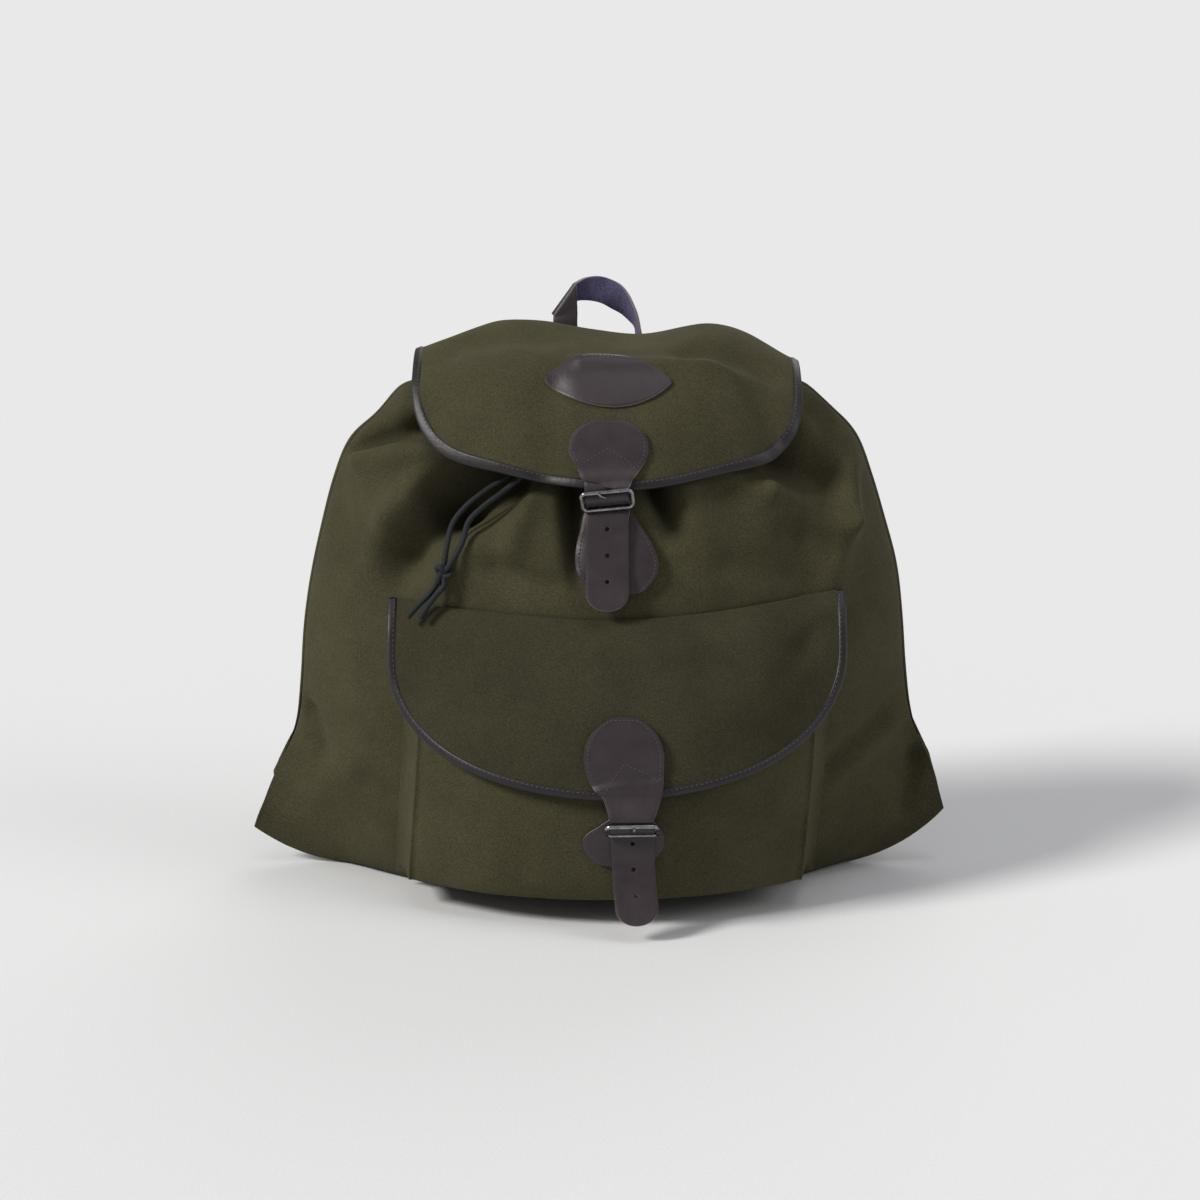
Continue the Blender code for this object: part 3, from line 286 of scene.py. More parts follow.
# Folds of the top flap, placed across it and down its run.
TOP_FLAP_FOLDS = table(
    Fold,
    (-14, 126, 92, 119, 3.5, 3.5, 8, 8),
    (60, 103, 116, 88, -8, -9, 13, 16),
    (96, 108, 124, 150, -4, -3, 12, 14),
    (-98, 69, -44, 92, -6, -5, 18, 16),
    (-36, 150, -40, 206, -4, -4, 12, 14),
    (-86, 150, -60, 178, 3, 3, 24, 24),
    (118, 119, 132, 144, -2, -2, 14, 14),
)
POCKET_FLAP_FOLDS = table(Fold, (-70, 50, 70, 48, -1.5, -1.5, 20, 20), (150, 32, 118, 72, -2.5, -1, 9, 9))

# %% Sizes of the pocket and the closures
# The pocket: the places of its front face down its height, at the middle and near its sides.
PocketRow = namedtuple("PocketRow", "z middle_y side_y left_x right_x")
POCKET_ROWS = table(
    PocketRow,
    (20, -149, -103, -140, 143),
    (34, -154, -108, -139, 144),
    (60, -155, -108, -137, 146),
    (97, -154, -106, -134, 149),
    (150, -146, -98, -131, 152),
    (190, -126, -78, -131, 153),
)
GUSSET_OUT = 12.0
POCKET_FLOOR_Z = 12.0
LEAST_POCKET_DEPTH = 8.0

# A closure is a tab sewn to a flap, which tapers to a strap and runs through a buckle. The outline of
# the tab is its half width after each part of the way from its top to its neck at the buckle.
TAB_PARTS = (0.0, 0.035, 0.08, 0.15, 0.23, 0.33, 0.43, 0.54, 0.68, 0.84, 1.0)
TAB_HALF_WIDTHS = (4.5, 11.0, 16.5, 21.8, 25.2, 27.3, 27.9, 26.6, 23.0, 18.6, 15.1)
TIP_LENGTH = 14.0
TAB_LEAVES_HEM = 3.0
LEAST_HALF_WIDTH = 0.6
# slope is the lean of the buckle's face, 90 for upright and more with its top bar out; roll turns it.
Buckle = namedtuple("Buckle", "x y z slope roll prong_slant")
TOP_BUCKLE = Buckle(3.0, -101.5, 297.5, 118.0, 7.0, -5.5)
POCKET_BUCKLE = Buckle(20.0, -168.5, 78.0, 140.0, 2.0, 2.0)
# Each station of a closure is a place on the middle of the strap's thickness.
Station = namedtuple("Station", "x y z")
TOP_TAIL = table(
    Station,
    (3, -97, 285), (3, -101.5, 270), (3, -107, 250), (3, -113.5, 234), (3, -119.5, 222.5),
)
POCKET_TAIL = table(
    Station,
    (20.5, -160, 67), (21, -161.5, 53), (22, -166, 38), (23.5, -173, 24), (24.5, -180, 13),
)
# The leather under a buckle is a teardrop sewn to the cloth, whose neck wraps the centre bar.
BaseRow = namedtuple("BaseRow", "x z half_width")
TOP_BASE = table(
    BaseRow,
    (10, 231, 6),
    (10, 234, 17),
    (10, 241, 25),
    (10, 252, 29),
    (8, 266, 26),
    (6, 277, 21),
    (4, 286, 17),
    (3, 293, 12),
)
POCKET_BASE = table(
    BaseRow,
    (14, 48, 6),
    (14, 50, 15),
    (14, 55, 23),
    (14, 63, 28),
    (15, 71, 27),
    (18, 78, 20),
    (19, 83, 14),
)
NECK_HALF_WIDTH = 11.0
Closure = namedtuple("Closure", "buckle tab_x tab_length tail base")
TOP_CLOSURE = Closure(TOP_BUCKLE, 4.0, 46.0, TOP_TAIL, TOP_BASE)
POCKET_CLOSURE = Closure(POCKET_BUCKLE, 14.5, 57.0, POCKET_TAIL, POCKET_BASE)

# The bare patch on the top flap: a leaf shape, sewn on.
PatchOutline = namedtuple("PatchOutline", "x run half_length half_height")
TOP_PATCH = PatchOutline(3.5, 142.0, 44.5, 21.0)

# %% Handle, drawcord and shoulder straps
# The carrying handle is a leather strap. It lies flat where its left end is sewn on, folds back over
# itself on a slant, arches to the right and turns edge on at its right end. A row is one line across it.
HandleRow = namedtuple("HandleRow", "left_x left_y left_z right_x right_y right_z")
HANDLE_ROWS = table(
    HandleRow,
    (-37, 52.7, 374, -18, 52.9, 374),
    (-37, 53.8, 399, -19, 53.8, 399),
    (-37, 56, 405, -19, 56, 412),
    (-36.5, 57, 407, -20, 57, 429),
    (-37.5, 60.5, 408, -21.5, 60.5, 430),
    (-34, 64, 409, -18, 64, 432),
    (-27, 66.5, 414, -13.5, 66.5, 434),
    (-19, 68, 417, -8, 68, 435),
    (-10, 69, 417, -2, 69, 435),
    (-1.5, 70, 415, 5, 70, 433),
    (6, 72.5, 411, 13, 66.5, 429),
    (13.5, 74.5, 407, 18.5, 63, 422.5),
    (19.5, 75.5, 402, 22.5, 60, 414.5),
    (24, 75.5, 397, 25.5, 58, 406.5),
    (25, 75, 391, 28, 56.5, 394),
    (24, 72, 383, 29.5, 57.5, 386),
    (20, 61, 375, 33, 56.5, 377),
    (17.5, 54.2, 368.5, 36, 54.2, 368.5),
)

# The drawcord hangs out of the mouth's hem on the left: two strands to a knot, then two tails.
CORD_STRAND_LEFT = table(
    Station,
    (-56, -60, 323), (-65, -66, 310), (-81, -70, 300), (-96, -75, 289), (-106, -80, 277),
    (-110, -87, 262), (-111.9, -91.3, 249.8),
)
CORD_STRAND_RIGHT = table(
    Station,
    (-49.5, -69.3, 323), (-57, -71.8, 310), (-70, -74, 299), (-84, -78, 289), (-94.5, -83, 279),
    (-99.5, -89, 264), (-108.6, -94.2, 248.9),
)
CORD_KNOT = Station(-113, -92, 243)
CORD_TAIL_LEFT = table(
    Station,
    (-116.5, -90.7, 236.5), (-123, -92, 228), (-131, -93, 220), (-138, -94, 212),
)
CORD_TAIL_RIGHT = table(
    Station,
    (-112, -94.9, 235.4), (-118, -95, 228), (-124, -96, 220), (-129, -97, 212),
)

# Each shoulder strap bows off the back from the top anchor to the bottom corner.
SHOULDER_STRAP = table(
    Station,
    (24, 52.2, 356), (30, 56.5, 338), (46, 78, 300), (68, 92, 245), (92, 95, 185), (116, 87, 125),
    (138, 68, 74), (152, 50.5, 46),
)

# %% [markdown]
# ## Colours and nodes
# Colours are written as sRGB hex, the way a picture editor shows them, and one function turns them to
# the linear values that Blender mixes. A second function adds any node with its settings and links.

# %% Colour and node helpers
def linear(hex_code):
    channels = [int(hex_code[i:i + 2], 16) / 255 for i in (1, 3, 5)]
    return [c / 12.92 if c <= 0.04045 else ((c + 0.055) / 1.055) ** 2.4 for c in channels] + [1.0]


def add_node(tree, kind, settings, inputs):
    """Adds a node. An input is a value, or a (node, output name) pair to link from."""
    made = tree.nodes.new("ShaderNode" + kind)
    for key, value in settings.items():
        setattr(made, key, value)
    for key, value in inputs.items():
        if isinstance(value, tuple) and isinstance(value[0], bpy.types.Node):
            tree.links.new(value[0].outputs[value[1]], made.inputs[key])
        else:
            made.inputs[key].default_value = value
    return made


def new_material(name, sockets):
    """A material with its shader's own sockets set, its tree, its shader and its coordinates."""
    material = bpy.data.materials.new(name)
    material.use_nodes = True
    tree = material.node_tree
    shader = tree.nodes["Principled BSDF"]
    for key, value in sockets.items():
        shader.inputs[key].default_value = value
    place = add_node(tree, "TexCoord", {}, {})
    return material, tree, shader, (place, "Object")


def give(tree, shader, socket, node, output):
    """Links a node's output to one of the shader's own sockets."""
    tree.links.new(node.outputs[output], shader.inputs[socket])


def two_tone(tree, factor, dark, light, low=0.35, high=0.65):
    """A ramp from one colour to another over the middle of a noise."""
    ramp = add_node(tree, "ValToRGB", {}, {"Fac": factor})
    for end, position, colour in zip(ramp.color_ramp.elements, (low, high), (dark, light)):
        end.position, end.color = position, linear(colour)
    return ramp


def per_metre(size_mm):
    """The texture scale at which a pattern repeats about every size_mm millimetres."""
    return 1.0 / (size_mm * MM)

# %% [markdown]
# ## Loden cloth
# Loden is wool that is woven, fulled until it felts, and brushed. The eye sees a matte, slightly
# mottled nap with no threads, and a faint soft bloom at grazing angles. Real fibres are 0.03 mm, far
# too fine to show here, so the nap is drawn as flecks of about 1 mm. Noise is right for it: a weave
# pattern would make it look like canvas.

# %% Loden cloth
# Flecks of the nap, patches that were brushed more, fuzz and slubs of the yarn.
Noise = namedtuple("Noise", "size detail roughness")
LODEN_NOISES = table(Noise, (1.1, 5.0, 0.7), (45.0, 3.0, 0.6), (0.9, 4.0, 0.75), (6.0, 3.0, 0.5))


def make_loden(name, dark, light):
    material, tree, shader, at = new_material(name, {
        "Roughness": 0.95, "Specular IOR Level": 0.15,
        "Sheen Weight": 0.12, "Sheen Roughness": 0.5, "Sheen Tint": linear("#8a8468"),
    })
    noises = []
    for size, detail, rough in LODEN_NOISES:
        settings = {"Vector": at, "Scale": per_metre(size), "Detail": detail, "Roughness": rough}
        noises.append(add_node(tree, "TexNoise", {}, settings))
    flecks, patches, fuzz, slubs = noises
    nap = two_tone(tree, (flecks, "Fac"), dark, light, 0.32, 0.68)
    shade = two_tone(tree, (patches, "Fac"), "#e2e2e0", "#ffffff", 0.3, 0.7)
    mixed = {0: 1.0, 6: (nap, "Color"), 7: (shade, "Color")}
    colour = add_node(tree, "Mix", {"data_type": "RGBA", "blend_type": "MULTIPLY"}, mixed)
    give(tree, shader, "Base Color", colour, 2)
    fine = {"Height": (fuzz, "Fac"), "Strength": 0.45, "Distance": 0.0005}
    coarse = {"Height": (slubs, "Fac"), "Strength": 0.25, "Distance": 0.0008}
    coarse["Normal"] = (add_node(tree, "Bump", {}, fine), "Normal")
    give(tree, shader, "Normal", add_node(tree, "Bump", {}, coarse), "Normal")
    return material


loden = make_loden("Fulled olive loden cloth", "#323024", "#504c36")
# A darker copy of the same loden for the pocket flap: painted shade, standing in for the shade that falls on
# the flap.
painted_shade_loden = make_loden("Olive loden darkened as painted shade", "#2a281e", "#44412f")
print("made", loden.name, "and", painted_shade_loden.name)

# %% [markdown]
# ## Waxed leather
# The trim is thick cowhide, dyed dark brown and waxed. Its grain side has pebbles of about a
# millimetre, a satin gloss, and softer, duller places where it was handled. Its back is the flesh
# side, a matte purple grey suede, and its cut edge is paler because the dye doesn't go through. Three
# materials on one strap show those three surfaces. The bindings are of a thinner, darker leather.

# %% Leather
def make_grain_leather(name, dark, light, dullest, shine):
    material, tree, shader, at = new_material(name, {"Specular IOR Level": shine})
    clouds = add_node(tree, "TexNoise", {}, {"Vector": at, "Scale": per_metre(11.0), "Detail": 4.0})
    give(tree, shader, "Base Color", two_tone(tree, (clouds, "Fac"), dark, light, 0.25, 0.75), "Color")
    wear = {"Value": (clouds, "Fac"), "To Min": dullest - 0.12, "To Max": dullest}
    give(tree, shader, "Roughness", add_node(tree, "MapRange", {}, wear), 0)
    warp = add_node(tree, "TexNoise", {}, {"Vector": at, "Scale": per_metre(3.0), "Detail": 2.0})
    cells = {"Vector": at, "Scale": per_metre(0.9), "Randomness": 1.0}
    pebbles = add_node(tree, "TexVoronoi", {"feature": "DISTANCE_TO_EDGE"}, cells)
    grain = {"Height": (pebbles, "Distance"), "Strength": 0.22, "Distance": 0.0004}
    soft = {"Height": (warp, "Fac"), "Strength": 0.25, "Distance": 0.0006}
    soft["Normal"] = (add_node(tree, "Bump", {}, grain), "Normal")
    give(tree, shader, "Normal", add_node(tree, "Bump", {}, soft), "Normal")
    return material


def make_plain_leather(name, dark, light, roughness, fleck_mm, bump):
    material, tree, shader, at = new_material(name, {"Roughness": roughness, "Specular IOR Level": 0.3})
    flecks = add_node(tree, "TexNoise", {}, {"Vector": at, "Scale": per_metre(fleck_mm), "Detail": 5.0})
    give(tree, shader, "Base Color", two_tone(tree, (flecks, "Fac"), dark, light), "Color")
    fibres = {"Height": (flecks, "Fac"), "Strength": bump, "Distance": 0.0004}
    give(tree, shader, "Normal", add_node(tree, "Bump", {}, fibres), "Normal")
    return material


grain_leather = make_grain_leather("Waxed dark brown leather", "#241b1f", "#2f2429", 0.52, 0.5)
binding_leather = make_grain_leather("Waxed black brown binding leather", "#151013", "#1d171a", 0.5, 0.42)
cut_leather = make_plain_leather("Cut leather edge", "#6e6265", "#8d8184", 0.7, 0.8, 0.3)
flesh_leather = make_plain_leather("Suede flesh side of leather", "#454058", "#5d5878", 0.85, 1.2, 0.5)
LEATHER_SIDES = (grain_leather, cut_leather, flesh_leather)
print("made", [m.name for m in LEATHER_SIDES])

# %% [markdown]
# ## Thread, wire and cord
# The thread is waxed polyester, a little lighter than the leather, so each stitch reads as a small
# bead. The buckles are steel wire with a dark nickel plate that has worn brighter in random patches. The
# cord is a matte black braid.

# %% Thread, wire and cord
def make_wire():
    material, tree, shader, at = new_material("Dark plated steel wire", {"Metallic": 1.0})
    worn = {"Vector": at, "Scale": per_metre(7.0), "Detail": 5.0, "Roughness": 0.65}
    wear = add_node(tree, "TexNoise", {}, worn)
    plate = two_tone(tree, (wear, "Fac"), "#737276", "#a9a7a8", 0.35, 0.7)
    give(tree, shader, "Base Color", plate, "Color")
    dull = add_node(tree, "MapRange", {}, {"Value": (wear, "Fac"), "To Min": 0.2, "To Max": 0.36})
    give(tree, shader, "Roughness", dull, 0)
    scratches = {"Height": (wear, "Fac"), "Strength": 0.1, "Distance": 0.0003}
    give(tree, shader, "Normal", add_node(tree, "Bump", {}, scratches), "Normal")
    return material


thread = make_plain_leather("Waxed brown thread", "#463a3e", "#5a4d52", 0.6, 0.7, 0.2)
braid = make_plain_leather("Black braided cord", "#101214", "#25282a", 0.75, 0.6, 0.4)
wire = make_wire()
print("made", thread.name, braid.name, wire.name)

# %% [markdown]
# ## Making pieces
# Three ways of making a mesh are enough for this bag. A sheet is a grid of points on a surface,
# thickened by a Solidify modifier, which can give its front, back and rim different materials. A loft
# joins sections with the same number of points. A row of stitches is many small capsules in one mesh.

# %% Piece helpers
BAG = bpy.data.collections.new("rucksack")
bpy.context.scene.collection.children.link(BAG)


def add_piece(name, mesh, materials, slot, *nodes):
    for material in materials:
        mesh.materials.append(material)
    obj = bpy.data.objects.new(name, mesh)
    BAG.objects.link(obj)
    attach(obj, "root")
    if nodes:
        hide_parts(*nodes)
    return obj


def mesh_of(name, points, faces):
    mesh = bpy.data.meshes.new(name)
    mesh.from_pydata([p * MM for p in points], [], faces)
    mesh.shade_smooth()
    return mesh


def grid_faces(columns, rows, flip=False):
    faces = []
    for j in range(rows):
        for i in range(columns):
            a = j * (columns + 1) + i
            face = (a, a + 1, a + columns + 2, a + columns + 1)
            faces.append(face[::-1] if flip else face)
    return faces


def loft_faces(rings, around, closed=False, first=0):
    """Faces that join rings of points one after another, with a cap at each end of an open loft."""
    faces = []
    for j in range(rings if closed else rings - 1):
        here, there = first + j * around, first + (j + 1) % rings * around
        for i in range(around):
            k = (i + 1) % around
            faces.append((here + i, here + k, there + k, there + i))
    if not closed:
        last = first + (rings - 1) * around
        faces.append(tuple(first + i for i in reversed(range(around))))
        faces.append(tuple(last + i for i in range(around)))
    return faces


def sheet_mesh(name, columns, rows, place, flip=False):
    points = [place(i / columns, j / rows) for j in range(rows + 1) for i in range(columns + 1)]
    return mesh_of(name, points, grid_faces(columns, rows, flip))


def subdivide(obj, levels):
    modifier = obj.modifiers.new("Smooth", "SUBSURF")
    modifier.levels = modifier.render_levels = levels
    modifier.boundary_smooth = "PRESERVE_CORNERS"


def thicken(obj, thickness, offset, sides=False):
    modifier = obj.modifiers.new("Thickness", "SOLIDIFY")
    modifier.thickness = thickness * MM
    modifier.offset = offset
    if sides:
        modifier.material_offset_rim, modifier.material_offset = 1, 2


def round_edges(obj, radius):
    modifier = obj.modifiers.new("Rounded edges", "BEVEL")
    modifier.width = radius * MM
    modifier.segments = 2
    modifier.limit_method = "ANGLE"
    modifier.angle_limit = math.radians(55)


def cloth_piece(name, mesh, material, node):
    """A sheet of cloth whose outside is the mesh, smoothed and given its thickness inwards."""
    obj = add_piece("cloth_" + name, mesh, [material], "loden_cloth", node)
    subdivide(obj, 1)
    thicken(obj, CLOTH, -1.0)
    return obj


def leather_piece(name, mesh, thickness, edge_radius=None, materials=LEATHER_SIDES):
    """A sheet of leather round its middle surface, with a grain, a cut edge and a flesh side."""
    obj = add_piece("leather_" + name, mesh, materials, "dark_leather", name)
    thicken(obj, thickness, 0.0, sides=True)
    if edge_radius:
        round_edges(obj, edge_radius)
    return obj


# Waves of the cloth, as (size, height): broad and fine ones on the panels, one kind on each other piece.
PANEL_WAVES = ((34.0, 1.1), (13.0, 0.35))
TOP_FLAP_WAVE, POCKET_FLAP_WAVE, POCKET_WAVE = (32.0, 0.9), (32.0, 0.7), (30.0, 0.9)


def ripple(p, size, height):
    """Small random waves of the cloth, of about this size and height in millimetres."""
    q = p / size
    return height * (noise.noise(q) + 0.45 * noise.noise(q * 2.3 + Vector((7.1, 3.3, 5.9))))


def normal_on(place, s, t, facing):
    """The direction square to a sheet, on its side that is turned to facing."""
    step = 0.002
    along_s = place(min(s + step, 1.0), t) - place(max(s - step, 0.0), t)
    along_t = place(s, min(t + step, 1.0)) - place(s, max(t - step, 0.0))
    normal = along_s.cross(along_t).normalized()
    return normal if normal.dot(facing) >= 0 else -normal


Stitching = namedtuple("Stitching", "pitch length radius")
BINDING_STITCHES = Stitching(3.6, 2.4, 0.34)
CLOSURE_STITCHES = Stitching(3.0, 2.1, 0.32)
PATCH_STITCHES = Stitching(2.7, 1.9, 0.3)
SHOULDER_STITCHES = Stitching(4.2, 2.9, 0.42)
# A stitch is a capsule: each ring is a share of its length, of its radius and how far it is lifted.
STITCH_RINGS = ((0.0, 0.25, -0.8), (0.14, 0.75, 0.0), (0.5, 1.0, 0.35), (0.86, 0.75, 0.0), (1.0, 0.25, -0.8))


def stitch_piece(name, lines, stitching):
    """Stitches along lines of (place, normal) pairs: each one dips into the leather at both its ends."""
    name += "_stitches"
    pitch, length, radius = stitching
    points, faces, sides = [], [], 6
    for line in lines:
        reach = [0.0]
        for (a, _), (b, _) in zip(line, line[1:]):
            reach.append(reach[-1] + (b - a).length)

        def at(run):
            i = min(max(bisect.bisect_right(reach, run) - 1, 0), len(line) - 2)
            share = (run - reach[i]) / max(reach[i + 1] - reach[i], 1e-6)
            return line[i][0].lerp(line[i + 1][0], share), line[i][1].lerp(line[i + 1][1], share)

        for number in range(int(reach[-1] / pitch)):
            start = (number + 0.5) * pitch - length / 2
            first = len(points)
            for along, wide, lift in STITCH_RINGS:
                spot, normal = at(start + length * along)
                way = (at(start + length)[0] - at(start)[0]).normalized()
                across = way.cross(normal).normalized()
                for k in range(sides):
                    turn = 2 * math.pi * k / sides
                    ring = across * math.cos(turn) + normal * math.sin(turn)
                    points.append(spot + normal * lift * radius + ring * radius * wide)
            faces += loft_faces(len(STITCH_RINGS), sides, first=first)
    obj = add_piece(name, mesh_of(name, points, faces), [thread], "dark_leather")
    print(name, len(faces) // (sides * (len(STITCH_RINGS) - 1) + 2), "stitches")
    return obj


def lines_on(place, lines, lift, facing):
    """Lines of (s, t) on a sheet, raised off it along its normal."""
    found = []
    for line in lines:
        spots = []
        for s, t in line:
            normal = normal_on(place, s, t, facing)
            spots.append((place(s, t) + normal * lift, normal))
        found.append(spots)
    return found

# %% [markdown]
# ## The sack
# The front and back panels are one fine grid each. The folds come from the table, gathers run round
# the mouth where the drawcord pulls it in, and small random ripples keep the heavy cloth from looking
# pressed. The seam between the panels is drawn tight, with the cloth rolling into it.

# %% The sack's panels
SACK_KNOTS = [i / (len(SACK_ROWS) - 1) for i in range(len(SACK_ROWS))]
SACK = column_curves(SACK_ROWS, SACK_KNOTS)


def panel_base(side, across, up):
    """A place on the front (side -1) or back (side 1) panel before its folds, in millimetres.

    across goes from -1 at the left seam to 1 at the right one, up from 0 at the bottom seam to 1.
    """
    row = {name: curve(up) for name, curve in SACK.items()}
    u = math.sin(across * math.pi / 2)
    middle_y, middle_z = (row["front_y"], row["front_z"]) if side < 0 else (row["back_y"], row["back_z"])
    seam_x, seam_z = (row["left_x"], row["left_z"]) if across < 0 else (row["right_x"], row["right_z"])
    swell = max(1.0 - u * u, 0.0) ** row["flatness" if side < 0 else "back_flatness"]
    lift = abs(u) ** row["lift"]
    x = abs(u) * seam_x
    if side > 0:
        bulge = BACK_SIDE_BULGE * math.sin(math.pi * abs(across) ** 6) * smoothstep(up * 3)
        x += math.copysign(bulge, across)
    y = row["seam_y"] + (middle_y - row["seam_y"]) * swell
    z = middle_z + (seam_z - middle_z) * lift
    return Vector((x, y, max(z, 0.0)))


def panel_point(side, across, up):
    """A place on a panel's outside with its folds and its own thickness off the seam."""
    step = 0.004
    here = panel_base(side, across, up)
    low, high = max(up - step, 0.0), min(up + step, 1.0)
    left, right = max(across - step, -1.0), min(across + step, 1.0)
    rise = panel_base(side, across, high) - panel_base(side, across, low)
    run = panel_base(side, right, up) - panel_base(side, left, up)
    normal = rise.cross(run) * (1.0 if side > 0 else -1.0)
    normal = normal.normalized() if normal.length > 1e-9 else Vector((0.0, side, 0.0))
    folds = FRONT_FOLDS if side < 0 else BACK_FOLDS
    height = fold_height(folds, here.x, here.z)
    gathers = GATHER_DEPTH * smoothstep((here.z - GATHER_START_Z) / GATHER_RISE)
    height += gathers * (math.cos(2 * math.pi * here.x / GATHER_PITCH) - 1.0) / 2.0
    sewn = smoothstep((1.0 - abs(across)) / 0.14) * smoothstep(up / 0.12)
    off_seam = Vector((0.0, side * CLOTH * abs(normal.y), 0.0))
    spot = here + normal * height * sewn + off_seam
    spot.z = max(spot.z, 0.0)
    return spot


FRONT_FINE_FOLDS = table(
    Fold,
    (-135, 300, -150, 262, 2.0, 1.0, 5, 7),
    (92, 317, 158, 279, -6, -4, 5, 5),
    (-180, 316, -128, 335, -4, -7, 4, 5),
)
# The front panel's last part before the side seam is turned in, above the corners of the bottom.
SEAM_TURNED_IN, SEAM_TURNED_PART = 4.0, 0.03
SEAM_TURNED_FROM, SEAM_TURNED_RISE = 0.13, 0.1


def fine_panel_point(side, across, up):
    """The same place with the cloth's small waves, its finest folds and its turned seam."""
    spot = panel_point(side, across, up)
    inward = 1.0 - abs(across) ** 8
    spot.y += side * inward * sum(ripple(spot, *wave) for wave in PANEL_WAVES)
    if side < 0:
        spot.y -= inward * fold_height(FRONT_FINE_FOLDS, spot.x, spot.z)
        turned = smoothstep((abs(across) - 1.0 + SEAM_TURNED_PART) / SEAM_TURNED_PART)
        turned *= smoothstep((up - SEAM_TURNED_FROM) / SEAM_TURNED_RISE)
        spot.y += SEAM_TURNED_IN * turned
        spot.x -= math.copysign(SEAM_TURNED_IN / 4 * turned, across)
    return spot


def panel_piece(name, side, columns, rows):
    mesh = sheet_mesh(name, columns, rows, lambda s, t: fine_panel_point(side, 2 * s - 1, t), side > 0)
    return cloth_piece(name, mesh, loden, name)


sack_front = panel_piece("sack_front", -1, 110, 76)
sack_back = panel_piece("sack_back", 1, 64, 48)


def front_of(obj):
    """A function that gives the y of a piece's surface at a place seen from the front."""
    tree = BVHTree.FromPolygons(
        [v.co / MM for v in obj.data.vertices], [tuple(p.vertices) for p in obj.data.polygons]
    )

    def at(x, z):
        hit = tree.ray_cast(Vector((x, -1000.0, z)), Vector((0, 1, 0)))[0]
        return hit.y if hit else 0.0

    return at


sack_front_y = front_of(sack_front)


print("sack front at its middle", round(sack_front_y(0, 200), 1), "mm")

# %% [markdown]
# ## The flaps
# Each flap is a sheet of loden whose free edge is bound in leather. The binding is a strip folded
# round the edge, so it is a loft with a rounded section, and it puckers a little between stitches.

# %% The flaps and their bindings
def flap_surface(sections, run, folds, hinge_y=None):
    """A function that gives the outside of a flap at a distance across it and down its run.

    Where hinge_y is given, the hinge lies there and the stations after it give way a little too.
    """
    xs = [s.x for s in sections]
    across = column_curves(sections, xs)

    def raw(x, r):
        held = min(max(x, xs[0]), xs[-1])
        ys = [across[name + "_y"](held) for name in FLAP_STATIONS]
        zs = [across[name + "_z"](held) for name in FLAP_STATIONS]
        if hinge_y:
            shift = hinge_y(held) - ys[0]
            ys = [y + shift * share for y, share in zip(ys, HINGE_SHARE)]
        return Vector((x, curve_through(run, ys)(r), curve_through(run, zs)(r)))

    def point_and_normal(x, r):
        step = 1.5
        normal = (raw(x, r - step) - raw(x, r + step)).cross(raw(x - step, r) - raw(x + step, r))
        normal.normalize()
        return raw(x, r) + normal * fold_height(folds, x, r), normal

    return point_and_normal


def outline_run(outline, x):
    """How far down its run a flap reaches at a distance across it."""
    middle, half = (outline.left + outline.right) / 2, (outline.right - outline.left) / 2
    part = min(abs(x - middle) / half, 1.0)
    curve = (1.0 - part**outline.roundness) ** (1.0 / outline.roundness)
    return outline.side_run + (outline.hem_run - outline.side_run) * curve


def inset(outline, distance):
    return outline._replace(
        left=outline.left + distance,
        right=outline.right - distance,
        hem_run=outline.hem_run - distance,
    )


def place_across(outline, s):
    """The distance across a flap at a share s of its columns, closer together towards its sides."""
    middle, half = (outline.left + outline.right) / 2, (outline.right - outline.left) / 2
    return middle + half * math.sin((2 * s - 1) * math.pi / 2)


def edge_places(outline, columns, rows):
    """Places down a flap's left side, round its hem and up its right side."""
    side_runs = [outline.side_run * j / rows for j in range(rows)]
    hem = [place_across(outline, i / columns) for i in range(columns + 1)]
    places = [(outline.left, run) for run in side_runs]
    places += [(x, outline_run(outline, x)) for x in hem]
    return places + [(outline.right, run) for run in reversed(side_runs)]

Edge = namedtuple("Edge", "share height")
BINDING_SECTION = (
    Edge(0.0, 0.62), Edge(0.06, 0.9), Edge(0.2, 1.0), Edge(0.5, 1.02), Edge(0.78, 0.98), Edge(0.92, 0.8),
    Edge(0.99, 0.4), Edge(1.01, 0.0), Edge(0.99, -0.4), Edge(0.92, -0.8), Edge(0.78, -0.98), Edge(0.5, -1.02),
    Edge(0.2, -1.0), Edge(0.06, -0.9), Edge(0.0, -0.62),
)
BINDING_STITCH_SHARE = 0.24


def rippled(surface, wave, outline):
    """The same surface with the cloth's small waves, which die out towards its binding."""

    def at(x, r):
        spot, normal = surface(x, r)
        calm = smoothstep((outline_run(outline, x) - r) / 30.0)
        return spot + normal * ripple(spot, *wave) * (0.35 + 0.65 * calm), normal

    return at


def flap_piece(name, surface, outline, columns, rows, cloth_material):
    tucked_in = 2.5
    cloth = inset(outline, BINDING_WIDTH - tucked_in)

    def place(s, t):
        x = place_across(cloth, s)
        return surface(x, t * outline_run(cloth, x))[0]

    return cloth_piece(name, sheet_mesh(name, columns, rows, place, True), cloth_material, name)


